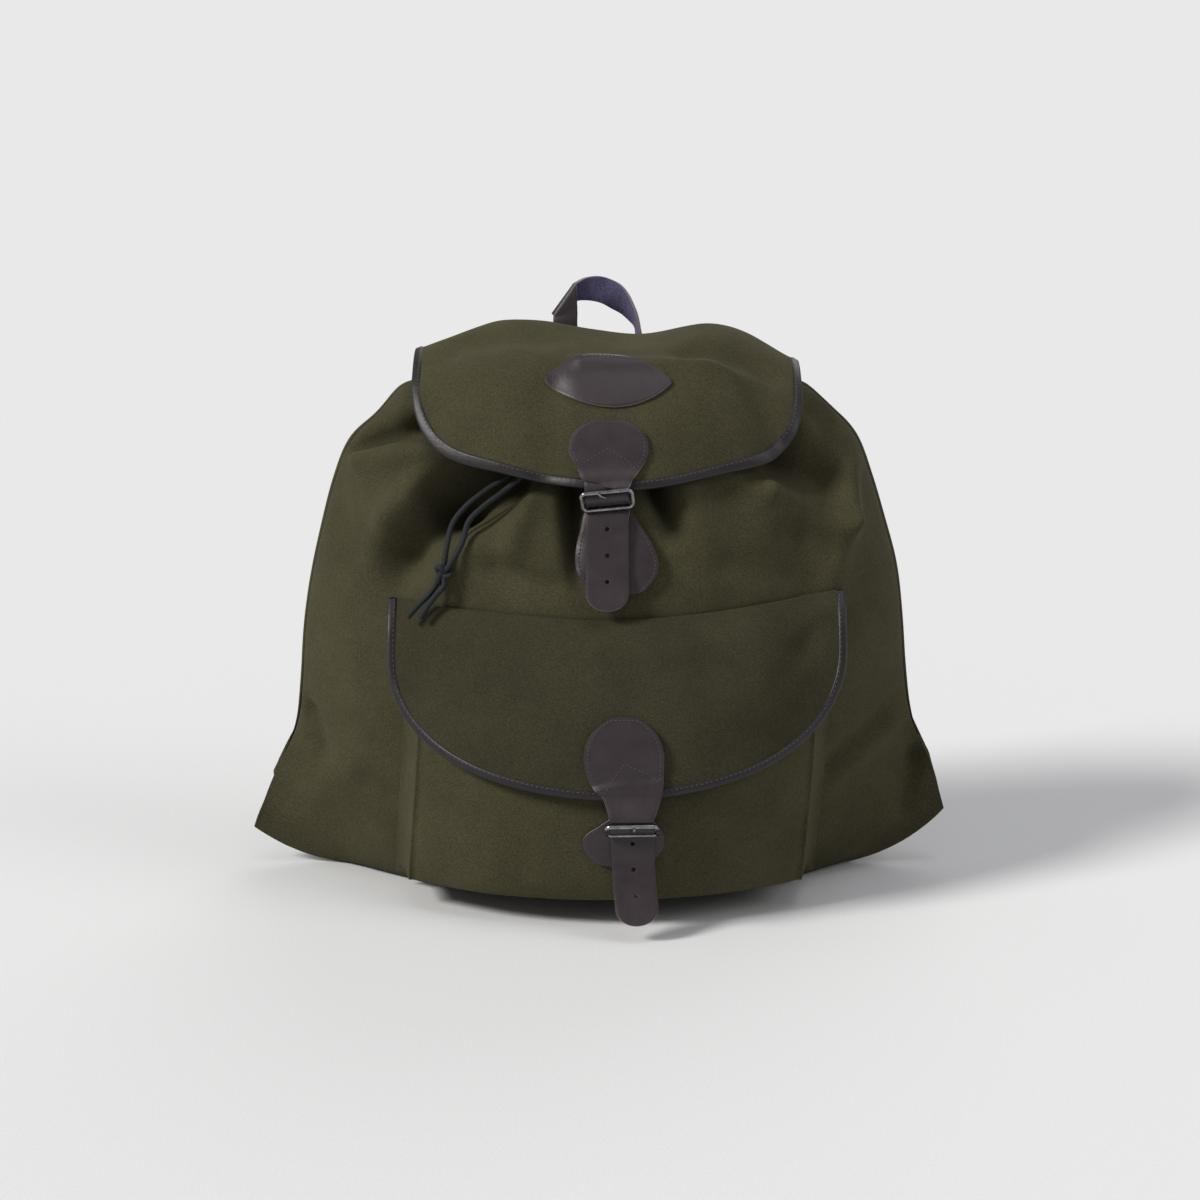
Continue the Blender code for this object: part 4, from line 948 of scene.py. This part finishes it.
def binding_piece(name, surface, outline, columns, rows):
    """The leather folded round a flap's edge, and the row of stitches that holds it."""
    half = CLOTH / 2 + BINDING_LEATHER * 0.7
    inner = edge_places(inset(outline, BINDING_WIDTH), columns, rows)
    outer = edge_places(outline, columns, rows)
    points, line = [], []
    for (x_in, run_in), (x_out, run_out) in zip(inner, outer):
        spot_in, normal_in = surface(x_in, run_in)
        spot_out, normal_out = surface(x_out, run_out)
        pucker = 1.0 + 0.07 * noise.noise(spot_out / 4.5) + 0.05 * noise.noise(spot_out / 11.0)
        for share, height in BINDING_SECTION:
            normal = normal_in.lerp(normal_out, min(share, 1.0)).normalized()
            off = half * height * (pucker if abs(height) > 0.7 else 1.0) - CLOTH / 2
            points.append(spot_in.lerp(spot_out, share) + normal * off)
        spot = spot_in.lerp(spot_out, BINDING_STITCH_SHARE)
        line.append((spot + normal_in * (half - CLOTH / 2), normal_in))
    mesh = mesh_of(name, points, loft_faces(len(inner), len(BINDING_SECTION)))
    bm = bmesh.new()
    bm.from_mesh(mesh)
    bmesh.ops.recalc_face_normals(bm, faces=bm.faces)
    bm.to_mesh(mesh)
    bm.free()
    mesh.shade_smooth()
    obj = add_piece("leather_" + name, mesh, [binding_leather], "dark_leather", name)
    return obj, stitch_piece(name, [line], BINDING_STITCHES)


top_smooth = flap_surface(TOP_FLAP_SECTIONS, TOP_FLAP_RUN, TOP_FLAP_FOLDS)
top_surface = rippled(top_smooth, TOP_FLAP_WAVE, TOP_FLAP_OUTLINE)
top_flap = flap_piece("top_flap", top_surface, TOP_FLAP_OUTLINE, 60, 42, loden)
top_binding, top_stitches = binding_piece("top_flap_binding", top_smooth, TOP_FLAP_OUTLINE, 120, 24)

hinge_xs = [section.x for section in POCKET_FLAP_SECTIONS]
hinge_z = curve_through(hinge_xs, [section.hinge_z for section in POCKET_FLAP_SECTIONS])


def hinge_y(x):
    return sack_front_y(x, hinge_z(x)) - CLOTH - BINDING_LEATHER - FIT_GAP


pocket_smooth = flap_surface(POCKET_FLAP_SECTIONS, POCKET_FLAP_RUN, POCKET_FLAP_FOLDS, hinge_y)
pocket_surface = rippled(pocket_smooth, POCKET_FLAP_WAVE, POCKET_FLAP_OUTLINE)
# The pocket flap wears the darker loden, which is painted shade.
pocket_flap = flap_piece("pocket_flap", pocket_surface, POCKET_FLAP_OUTLINE, 60, 30, painted_shade_loden)
pocket_binding, pocket_stitches = binding_piece(
    "pocket_flap_binding", pocket_smooth, POCKET_FLAP_OUTLINE, 130, 18
)


def declare_flap(flap, outline, binding, stitches):
    """Prints how large a flap's cut was."""
    width, length = (outline.right - outline.left) * MM, outline.hem_run * MM
    strips = [outline_run(outline, outline.left + i + 0.5) for i in range(int(width / MM))]
    area = sum(strips) * MM * MM
    print(flap.name, round(width, 3), "x", round(length, 3), "m,", round(area, 4), "square metres")


declare_flap(top_flap, TOP_FLAP_OUTLINE, top_binding, top_stitches)
declare_flap(pocket_flap, POCKET_FLAP_OUTLINE, pocket_binding, pocket_stitches)

# %% [markdown]
# ## The pocket
# The pocket is one cloth: its front, its two gussets and its floor. The front edge of each gusset is
# a turned seam, so it stands a little proud, and the top edge is open under its flap.

# %% The pocket
# The welt stands proud along the gusset's turned edge, and the cloth dips a little beside it.
GUSSET_WELT, WELT_HALF_WIDTH = 1.6, 1.8
WELT_DIP_SHARE, WELT_DIP_AT, WELT_DIP_HALF_WIDTH = 0.6, 5.0, 2.4
CLOSER_AT_EDGES = 0.82


def pocket_front_y():
    """A function that gives the front of the pocket at a place seen from the front."""
    curves = column_curves(POCKET_ROWS, [row.z for row in POCKET_ROWS])

    def at(x, z):
        left, right = curves["left_x"](z), curves["right_x"](z)
        part = min(abs(x - (left + right) / 2) / ((right - left) / 2), 1.0)
        middle, side = curves["middle_y"](z), curves["side_y"](z)
        return middle + (side - middle) * part**2.2

    return at, curves


def clear_of(surface_y, x, z, reach):
    """The most forward y of a surface within reach of a place, seen from the front."""
    steps = (-reach, 0.0, reach)
    return min(surface_y(x + dx, z + dz) for dx in steps for dz in steps)


def pocket_piece(columns, rows, side_steps):
    front_y, curves = pocket_front_y()
    top_z, low_z = POCKET_ROWS[-1].z, POCKET_ROWS[0].z
    shares = [i / side_steps for i in range(side_steps + 1)]
    tucked = [share**2.4 for share in shares]
    all_columns, all_rows = columns + 2 * side_steps, rows + side_steps

    def place(s, t):
        i, j = round(s * all_columns), round(t * all_rows)
        up = max(j - side_steps, 0) / rows
        floor = min(j, side_steps)
        z = POCKET_FLOOR_Z + (low_z - POCKET_FLOOR_Z) * shares[floor] + (top_z - low_z) * up
        front_z = max(z, low_z)
        left, right = curves["left_x"](front_z), curves["right_x"](front_z)
        gusset = min(i, all_columns - i, side_steps)
        share = min(max(i - side_steps, 0), columns) / columns
        across = share - CLOSER_AT_EDGES * math.sin(2 * math.pi * share) / (2 * math.pi)
        x = left + (right - left) * across
        x += GUSSET_OUT * (1 - shares[gusset]) * (-1 if i < all_columns / 2 else 1)
        rear = clear_of(sack_front_y, x, max(z, low_z), 2 * CLOTH) - 2 * FIT_GAP
        depth = max(rear - front_y(x, front_z), LEAST_POCKET_DEPTH)
        off_edge = min(across, 1 - across) * (right - left) + GUSSET_OUT * (1 - shares[gusset])
        edge = math.exp(-((off_edge / WELT_HALF_WIDTH) ** 2))
        edge -= WELT_DIP_SHARE * math.exp(-(((off_edge - WELT_DIP_AT) / WELT_DIP_HALF_WIDTH) ** 2))
        spot = Vector((x, rear - depth * tucked[gusset] * tucked[floor], z))
        spot.y += (ripple(spot, *POCKET_WAVE) - GUSSET_WELT * edge) * tucked[gusset]
        return spot

    return cloth_piece("pocket", sheet_mesh("pocket", all_columns, all_rows, place), loden, "pocket")


pocket = pocket_piece(56, 36, 8)
pocket_y = pocket_front_y()[0]
print("pocket front at its middle", round(pocket_y(5, 60), 1), "mm")

# %% [markdown]
# ## Buckles
# Each buckle is one bent wire with a centre bar, and a prong whose eye turns round that bar. A wire
# is a tube along a line, so it is a loft of circles. It stays a mesh rather than a curve with a
# bevel, so that bar and frame are one piece.

# %% Wire parts
def buckle_matrix(buckle):
    """From the buckle's own axes (across, up the strap, out of its face) to the bag's."""
    slope, roll = math.radians(buckle.slope), math.radians(buckle.roll)
    up = Vector((0.0, math.cos(slope), math.sin(slope)))
    out = Vector((0.0, -math.sin(slope), math.cos(slope)))
    turn = Matrix((Vector((1, 0, 0)), up, out)).transposed() @ Matrix.Rotation(roll, 3, "Z")
    return turn, Vector((buckle.x, buckle.y, buckle.z))


def buckle_points(buckle, local):
    """Places given in the buckle's own axes, as places on the bag."""
    turn, centre = buckle_matrix(buckle)
    return [centre + turn @ Vector(p) for p in local]


def tube(points, radius, sides, closed=False):
    """The points and faces of a round tube along a path, its frame carried along without a twist."""
    count = len(points)
    rings = []
    across = Vector((0, 0, 1))
    for i, point in enumerate(points):
        before = points[i - 1] if i > 0 or closed else point
        after = points[(i + 1) % count] if i < count - 1 or closed else point
        way = (after - before).normalized()
        across = square_to(way, across if abs(way.dot(across)) < 0.95 else Vector((1, 0, 0)))
        up = way.cross(across)
        size = radius(i) if callable(radius) else radius
        for k in range(sides):
            turn = 2 * math.pi * k / sides
            rings.append(point + (across * math.cos(turn) + up * math.sin(turn)) * size)
    return rings, loft_faces(count, sides, closed)


def joined(parts):
    points, faces = [], []
    for part_points, part_faces in parts:
        faces += [tuple(i + len(points) for i in face) for face in part_faces]
        points += part_points
    return points, faces


EYE_RADIUS = (CENTRE_BAR_WIRE + PRONG_WIRE) / 2 + 0.35


def buckle_piece(name, buckle):
    half_width = (BUCKLE_INSIDE_WIDTH + BUCKLE_WIRE) / 2
    half_height = BUCKLE_BARS_APART / 2
    radius, corner_steps = 3.5, 10
    ring = []
    for quarter, (across, up) in enumerate(((1, 1), (-1, 1), (-1, -1), (1, -1))):
        for step in range(corner_steps + 1):
            angle = math.pi / 2 * (quarter + step / corner_steps)
            ring.append((
                across * (half_width - radius) + radius * math.cos(angle),
                up * (half_height - radius) + radius * math.sin(angle),
                0.0,
            ))
    steps = 24
    bar = []
    for step in range(steps + 1):
        along = 2 * step / steps - 1
        back = smoothstep((1 - abs(along)) / 0.22)
        bar.append((along * half_width, 0.0, -back * CENTRE_BAR_SET_BACK))
    frame_tube = tube(buckle_points(buckle, ring), BUCKLE_WIRE / 2, 14, closed=True)
    bar_tube = tube(buckle_points(buckle, bar), CENTRE_BAR_WIRE / 2, 12)
    mesh = mesh_of(name, *joined([frame_tube, bar_tube]))
    return add_piece("wire_" + name, mesh, [wire], "gunmetal_wire", name)


def prong_piece(name, buckle):
    eye_degrees, eye_steps = 280, 20
    slant = buckle.prong_slant
    local = []
    for step in range(eye_steps + 1):
        angle = math.radians(eye_degrees * (1 - step / eye_steps))
        v, w = -math.sin(angle) * EYE_RADIUS, math.cos(angle) * EYE_RADIUS - CENTRE_BAR_SET_BACK
        local.append(Vector((0.0, v, w)))
    tip_out = (BUCKLE_WIRE + PRONG_WIRE) / 2 + 0.35
    bar = BUCKLE_BARS_APART / 2
    rest = [(slant * 0.15, 3.2, 1.0), (slant * 0.7, bar - 1.0, tip_out), (slant, bar + 1.8, tip_out)]
    knots, at = curve_through_points([local[-1]] + [Vector(p) for p in rest])
    local += [at(knots[-1] * i / 14) for i in range(1, 15)]
    last = len(local) - 1

    def tapered(i):
        return PRONG_WIRE / 2 * (1 - 0.35 * smoothstep((i - last + 3) / 3))

    points, faces = tube(buckle_points(buckle, local), tapered, 12)
    return add_piece("wire_" + name, mesh_of(name, points, faces), [wire], "gunmetal_wire", name)


for name, buckle in (("top_buckle", TOP_BUCKLE), ("pocket_buckle", POCKET_BUCKLE)):
    buckle_piece(name, buckle)
    prong_piece(name + "_prong", buckle)

# %% [markdown]
# ## The closures
# A closure is one leather: a pear-shaped tab sewn on the flap, a strap through the buckle and a tail
# with punched holes. The stitching runs round the tab and crosses it in a peak, which is where the
# strap leaves the flap. Below the buckle a teardrop of leather is sewn to the bag and wraps the bar.

# %% The closing straps
def strap_path(surface, outline, spec):
    """The middle of a closure's thickness, from the top of its tab to its tip, and where its parts end.

    The tab lies on the flap and over its binding, the strap goes behind the buckle's top bar, over its
    centre bar and behind its lower bar, and the tail hangs free.
    """
    half = STRAP_LEATHER / 2
    hem_run = outline_run(outline, spec.tab_x)
    steps = 9
    head = []
    for i in range(steps + 1):
        run = hem_run - spec.tab_length + (spec.tab_length - TAB_LEAVES_HEM) * i / steps
        x = spec.tab_x + (spec.buckle.x - spec.tab_x) * smoothstep((i / steps - 0.5) * 2)
        spot, normal = surface(x, run)
        over_binding = smoothstep((run - (hem_run - BINDING_WIDTH - 9)) / 7)
        lift = 2 * FIT_GAP + half + (BINDING_LEATHER + FIT_GAP) * over_binding
        head.append(spot + normal * lift)
    bar = BUCKLE_BARS_APART / 2
    behind_bar = -(BUCKLE_WIRE / 2 + 2 * FIT_GAP + half)
    over_centre = EYE_RADIUS - CENTRE_BAR_SET_BACK + PRONG_WIRE / 2 + FIT_GAP + half
    through = (
        (0, bar + 1.6, behind_bar - 0.4),
        (0, bar - 1.2, behind_bar),
        (0, bar * 0.35, over_centre * 0.4),
        (0, 0, over_centre),
        (0, -bar * 0.35, over_centre * 0.4),
        (0, -bar + 1.2, behind_bar),
        (0, -bar - 1.6, behind_bar),
    )
    points = head + buckle_points(spec.buckle, through) + [Vector(station) for station in spec.tail]
    return points, len(head), len(head) + len(through) - 1


def tab_half_width(share):
    """Half the tab's width at a share of its length, with a round head."""
    curve = curve_through(TAB_PARTS, TAB_HALF_WIDTHS)(share)
    rounded = TAB_HALF_WIDTHS[1] * math.sqrt(max(share, 0.0) / TAB_PARTS[1])
    return min(curve, max(rounded, LEAST_HALF_WIDTH))


def strap_surface(spec, path):
    """The middle of a closure's leather as place(s, t), its lengths to the buckle and in all, its width."""
    stations, first, last = path
    knots, place_at = curve_through_points(stations)
    neck, through_end, length = knots[first], knots[last], knots[-1]
    bar_way = buckle_matrix(spec.buckle)[0] @ Vector((1, 0, 0))
    body_end = length - TIP_LENGTH

    def half_width(run):
        if run < neck:
            return tab_half_width(run / neck)
        into_tip = max((run - body_end) / TIP_LENGTH, 0.0)
        return max(STRAP_WIDTH / 2 * math.sqrt(max(1 - into_tip**2.2, 0.0)), LEAST_HALF_WIDTH)

    def frame_at(run):
        step = 1.2
        way = (place_at(min(run + step, length)) - place_at(max(run - step, 0.0))).normalized()
        away = max(neck - run, run - through_end, 0.0)
        across = bar_way.lerp(Vector((1, 0, 0)), smoothstep(away / 20))
        return place_at(run), square_to(way, across)

    def place(s, t):
        run = min(max(t, 0.0), 1.0) * length
        middle, side = frame_at(run)
        return middle + side * half_width(run) * (2 * s - 1)

    return place, neck, length, half_width


def closure_piece(name, spec, surface, outline, peak_run, foot_run):
    """A closure in one leather, stitched round its tab and across it in a peak between two runs."""
    place, neck, length, half_width = strap_surface(spec, strap_path(surface, outline, spec))
    columns = 10
    runs = [neck * share for share in (0.0, 0.002, 0.006, 0.012, 0.02, 0.035)]
    step = 1.6
    while runs[-1] + step < length - 3.0:
        runs.append(runs[-1] + step)
    runs += [length - back for back in (2.6, 1.6, 0.9, 0.4, 0.1, 0.0)]
    points = [place(i / columns, run / length) for run in runs for i in range(columns + 1)]
    mesh = mesh_of(name, points, grid_faces(columns, len(runs) - 1, flip=True))
    obj = leather_piece(name, mesh, STRAP_LEATHER)
    punched = []
    for number in range(3):
        run = length - TIP_TO_HOLE - HOLE_PITCH * number
        spot = place(0.5, run / length)
        normal = normal_on(place, 0.5, run / length, Vector((0, -1, 0)))
        punched.append(tube([spot - normal * 4, spot + normal * 4], HOLE_DIAMETER / 2, 20))
    cutter_mesh = mesh_of(name + "_punch", *joined(punched))
    cutter_mesh.materials.append(cut_leather)
    cutter = bpy.data.objects.new(name + "_punch", cutter_mesh)
    BAG.objects.link(cutter)
    cutter.hide_render = True
    cutter.hide_set(True)
    cut = obj.modifiers.new("Punched holes", "BOOLEAN")
    cut.operation, cut.solver, cut.object, cut.use_self = "DIFFERENCE", "EXACT", cutter, True
    round_edges(obj, 0.45)
    edge, steps = 2.6, 44

    def inside(run):
        return edge / (2 * half_width(run))

    left = []
    for i in range(steps + 1):
        run = foot_run + (edge - foot_run) * i / steps
        left.append((inside(run), run / length))
    top = [(share, edge / length) for share in (0.3, 0.5, 0.7)] if half_width(edge) > 2 * edge else []
    right = [(1 - s, t) for s, t in reversed(left)]
    peak = []
    low, high = inside(foot_run), 1 - inside(foot_run)
    for i in range(21):
        share = i / 20
        up = 1 - abs(2 * share - 1)
        peak.append((low + (high - low) * share, (foot_run + (peak_run - foot_run) * up) / length))
    lines = lines_on(place, [left + top + right, peak], STRAP_LEATHER / 2, Vector((0, -1, 0.3)))
    stitch_piece(name, lines, CLOSURE_STITCHES)
    print(name, round(length), "mm long")
    return obj


closure_piece("top_closure_strap", TOP_CLOSURE, top_smooth, TOP_FLAP_OUTLINE, 21.6, 35.5)
closure_piece("pocket_closure_strap", POCKET_CLOSURE, pocket_smooth, POCKET_FLAP_OUTLINE, 32.5, 51.0)

# %% [markdown]
# ## The teardrops and the patch
# The leather under each buckle and the bare patch on the flap follow the cloth below them. Their
# outlines come from a few half widths, and their stitches run a little inside the cut edge.

# %% Sewn-on leathers
def base_piece(name, rows, behind_y, buckle, bridged):
    spans = [row.z for row in rows]
    curves = column_curves(rows, spans)
    wrap_radius = CENTRE_BAR_WIRE / 2 + FIT_GAP + LEATHER / 2
    first_degrees, last_degrees, wrap_steps = 200, -30, 16
    local = []
    for step in range(wrap_steps + 1):
        angle = math.radians(first_degrees + (last_degrees - first_degrees) * step / wrap_steps)
        up, out = math.sin(angle) * wrap_radius, math.cos(angle) * wrap_radius
        local.append((0, up, out - CENTRE_BAR_SET_BACK))
    neck = buckle_points(buckle, local)
    bar_way = buckle_matrix(buckle)[0] @ Vector((1, 0, 0))
    low, high = spans[0], spans[-1]
    plate_rows, columns = 34, 12
    count = plate_rows + len(neck)

    def half_width(z):
        rounding = 5.0
        half = curves["half_width"](z)
        if z - low < rounding:
            full = curves["half_width"](low + rounding)
            half = full * math.sqrt(max(1 - (1 - (z - low) / rounding) ** 2, 0.0))
        return max(half, 0.8)

    def plate(s, t):
        z = low + (high - low) * t
        x = curves["x"](z) + half_width(z) * (2 * s - 1)
        return Vector((x, clear_of(behind_y, x, z, bridged) - 2 * FIT_GAP - LEATHER / 2, z))

    def place(s, t):
        i = round(t * count)
        if i > plate_rows:
            return neck[i - plate_rows - 1] + bar_way * NECK_HALF_WIDTH * (2 * s - 1)
        return plate(s, (i / plate_rows) ** 1.25)

    obj = leather_piece(name, sheet_mesh(name, columns, count, place), LEATHER, 0.35)
    edge, steps = 2.4, 30
    side = []
    for i in range(steps + 1):
        z = low + edge + (high - low - edge - 7) * (1 - i / steps)
        side.append((edge / (2 * max(half_width(z), edge + 1.5)), (z - low) / (high - low)))
    outline = side + [(1 - s, t) for s, t in reversed(side)]
    lines = lines_on(plate, [outline], LEATHER / 2, Vector((0, -1, 0)))
    stitch_piece(name, lines, CLOSURE_STITCHES)
    return obj


base_piece("top_buckle_base", TOP_BASE, sack_front_y, TOP_BUCKLE, 11.0)
base_piece("pocket_buckle_base", POCKET_BASE, pocket_y, POCKET_BUCKLE, 5.0)


def patch_piece(surface, outline):
    def half_height(part):
        return outline.half_height * (1 - abs(part) ** 2.0) ** 0.85 + 0.8

    def place(s, t):
        part = 2 * s - 1
        run = outline.run + half_height(part) * (2 * t - 1)
        spot, normal = surface(outline.x + outline.half_length * part, run)
        return spot + normal * (2 * FIT_GAP + LEATHER / 2)

    name = "oval_patch"
    obj = leather_piece(name, sheet_mesh(name, 48, 14, place, flip=True), LEATHER, 0.35)
    edge, steps = 2.3, 48
    upper = []
    for i in range(steps + 1):
        s = 0.06 + 0.88 * i / steps
        upper.append((s, edge / (2 * half_height(2 * s - 1))))
    lower = [(s, 1 - t) for s, t in reversed(upper)]
    lines = lines_on(place, [upper + lower + upper[:1]], LEATHER / 2, Vector((0, -1, 0.5)))
    stitch_piece(name, lines, PATCH_STITCHES)
    return obj


patch_piece(top_smooth, TOP_PATCH)

# %% [markdown]
# ## The handle
# The handle is a strap that folds over itself at its left end, so the arch shows the suede flesh
# side. Its two edges are drawn in a table, and the sheet spans from edge to edge.

# %% The carrying handle
def handle_piece():
    curves = column_curves(HANDLE_ROWS, range(len(HANDLE_ROWS)))
    last = len(HANDLE_ROWS) - 1

    def place(s, t):
        row = {field: curve(t * last) for field, curve in curves.items()}
        left = Vector((row["left_x"], row["left_y"], row["left_z"]))
        right = Vector((row["right_x"], row["right_y"], row["right_z"]))
        return left.lerp(right, s)

    mesh = sheet_mesh("carry_handle", 8, 8 * last, place)
    return leather_piece("carry_handle", mesh, STRAP_LEATHER, 0.5)


handle_piece()

# %% [markdown]
# ## The shoulder straps
# They lie on the back, two layers of leather sewn together along both edges, from under the flap to
# the bottom corners.

# %% The shoulder straps
STRAP_SPLAY = 0.35


def shoulder_strap_piece(name, side):
    stations = [Vector((s.x * side, s.y, s.z)) for s in SHOULDER_STRAP]
    knots, at = curve_through_points(stations)
    length = knots[-1]

    def place(s, t):
        run = min(max(t, 0.0), 1.0) * length
        way = (at(min(run + 2, length)) - at(max(run - 2, 0.0))).normalized()
        across = square_to(way, Vector((1.0, 0.0, STRAP_SPLAY * side)))
        return at(run) + across * SHOULDER_STRAP_WIDTH / 2 * (2 * s - 1)

    mesh = sheet_mesh(name, 8, 120, place)
    obj = leather_piece(name, mesh, SHOULDER_STRAP_THICKNESS, 0.7, (grain_leather,) * 3)
    inside = 3.0 / SHOULDER_STRAP_WIDTH
    edges = [[(s, 0.01 + 0.98 * i / 90) for i in range(91)] for s in (inside, 1 - inside)]
    for end, box in ((0.01, 0.085), (0.99, 0.915)):
        corners = ((inside, end), (1 - inside, end), (inside, box), (1 - inside, box), (inside, end))
        for (s, t), (next_s, next_t) in zip(corners, corners[1:]):
            edges.append([(s + (next_s - s) * i / 12, t + (next_t - t) * i / 12) for i in range(13)])
    lines = lines_on(place, edges, SHOULDER_STRAP_THICKNESS / 2, Vector((0, 1, 0)))
    stitch_piece(name, lines, SHOULDER_STITCHES)
    return obj


shoulder_strap_piece("shoulder_strap_left", -1)
shoulder_strap_piece("shoulder_strap_right", 1)

# %% [markdown]
# ## The drawcord
# The cord comes out of the mouth's hem in two strands, meets in a knot and ends in two short tails.
# It is a braid of about 4 mm, so its tube swells and pinches along two crossing spirals.

# %% The drawcord
BRAID_LOBES, BRAID_PITCH = 4, 5.0
KNOT_TURN_RADIUS, KNOT_LEAN = 2.55, math.radians(24)


def braid_tube(points, diameter, sides=16):
    """A tube whose skin rises where the strands of the braid pass over each other."""
    knots, at = curve_through_points(points)
    steps = max(int(knots[-1] / 0.6), 8)
    path = [at(knots[-1] * i / steps) for i in range(steps + 1)]
    rings, faces = tube(path, diameter / 2, sides)
    for i in range(steps + 1):
        run = knots[-1] * i / steps
        close = 1.0 if 0 < i < steps else 0.75
        for k in range(sides):
            angle = 2 * math.pi * k / sides
            twist = 2 * math.pi * run / BRAID_PITCH
            over = max(math.cos(BRAID_LOBES * angle + way * 2 * twist) for way in (1, -1))
            spot = rings[i * sides + k]
            rings[i * sides + k] = path[i] + (spot - path[i]) * close * (0.93 + 0.07 * over)
    return rings, faces, path


def cord_piece(name, stations):
    """A limp stretch of the drawcord through its stations, which prints its real length."""
    points = [Vector(station) for station in stations]
    rings, faces, path = braid_tube(points, CORD_DIAMETER)
    obj = add_piece("braid_" + name, mesh_of(name, rings, faces), [braid], "braided_cord", name)
    length = sum((b - a).length for a, b in zip(path, path[1:]))
    [tuple(p * MM) for p in path]
    print(name, round(length), "mm long")
    return obj


def knot_piece():
    """An overhand knot: a trefoil pulled tight, as one turn of the same cord."""
    steps, size, lean = 96, KNOT_TURN_RADIUS, Matrix.Rotation(KNOT_LEAN, 3, "Y")
    turns = []
    for i in range(steps):
        a = 2 * math.pi * i / steps
        x = size * (math.sin(a) + 1.3 * math.sin(2 * a)) * 0.95
        z = size * (math.cos(a) - 1.3 * math.cos(2 * a)) * 1.15
        y = -size * math.sin(3 * a) * 0.75
        turns.append(Vector(CORD_KNOT) + lean @ Vector((x, y, z)))
    mesh = mesh_of("knot", *tube(turns, CORD_DIAMETER / 2, 14, closed=True))
    return add_piece("braid_drawcord_knot", mesh, [braid], "braided_cord", "drawcord_knot")


knot = knot_piece()
in_the_knot = (CORD_KNOT,)
cord_piece("drawcord_left", CORD_STRAND_LEFT + in_the_knot)
cord_piece("drawcord_right", CORD_STRAND_RIGHT + in_the_knot)
cord_piece("drawcord_tail_left", in_the_knot + CORD_TAIL_LEFT)
cord_piece("drawcord_tail_right", in_the_knot + CORD_TAIL_RIGHT)

# %% [markdown]
# ## Floor and light
# The photograph has a plain light grey ground and very soft light from the front and the left, as in
# a light tent. A large floor, a pale world and three wide suns give the same.

# %% Floor, light and view
def sun_light(name, from_place, strength, spread_degrees, colour):
    """A sun lights the whole floor evenly, and a wide one casts the soft shadows of a light tent."""
    data = bpy.data.lights.new(name, "SUN")
    data.energy, data.angle, data.color = strength, math.radians(spread_degrees), linear(colour)[:3]
    light = bpy.data.objects.new(name, data)
    light.rotation_euler = (-Vector(from_place)).to_track_quat("-Z", "Y").to_euler()
    bpy.context.scene.collection.objects.link(light)
    return light


def make_floor():
    half = 400.0
    mesh = bpy.data.meshes.new("floor")
    corners = [(-half, -half, 0), (half, -half, 0), (half, half, 0), (-half, half, 0)]
    mesh.from_pydata(corners, [], [(0, 1, 2, 3)])
    matte = {"Roughness": 0.9, "Specular IOR Level": 0.0}
    material, tree, shader, at = new_material("Pale studio paper", matte)
    grain = add_node(tree, "TexNoise", {}, {"Vector": at, "Scale": per_metre(2.0), "Detail": 3.0})
    give(tree, shader, "Base Color", two_tone(tree, (grain, "Fac"), "#d8d8d9", "#dcdcdd"), "Color")
    mesh.materials.append(material)
    floor = bpy.data.objects.new("floor", mesh)
    bpy.context.scene.collection.objects.link(floor)


def make_world(light_colour, strength, seen_colour):
    """The camera sees the ground's grey beyond the floor, while the world lights the bag more softly."""
    world = bpy.data.worlds.new("light tent")
    world.use_nodes = True
    tree = world.node_tree
    seen = add_node(tree, "Background", {}, {"Color": linear(seen_colour), "Strength": 1.0})
    lit = tree.nodes["Background"]
    lit.inputs["Color"].default_value = linear(light_colour)
    lit.inputs["Strength"].default_value = strength
    ray = add_node(tree, "LightPath", {}, {})
    inputs = {0: (ray, "Is Camera Ray"), 1: (lit, "Background"), 2: (seen, "Background")}
    give(tree, tree.nodes["World Output"], "Surface", add_node(tree, "MixShader", {}, inputs), 0)
    bpy.context.scene.world = world


make_floor()
make_world("#f4f4f6", 0.3, "#e6e6e6")
bpy.context.scene.view_settings.view_transform = "Standard"
sun_light("key from the left", (-1.3, -0.62, 1.1), 2.9, 16.0, "#fffef9")
sun_light("fill from the right", (1.3, -0.5, 0.9), 0.55, 30.0, "#ffffff")
sun_light("top light", (0.3, -0.2, 1.9), 0.45, 30.0, "#f8faff")
sun_light("back light", (0.4, 1.6, 1.1), 0.6, 40.0, "#ffffff")
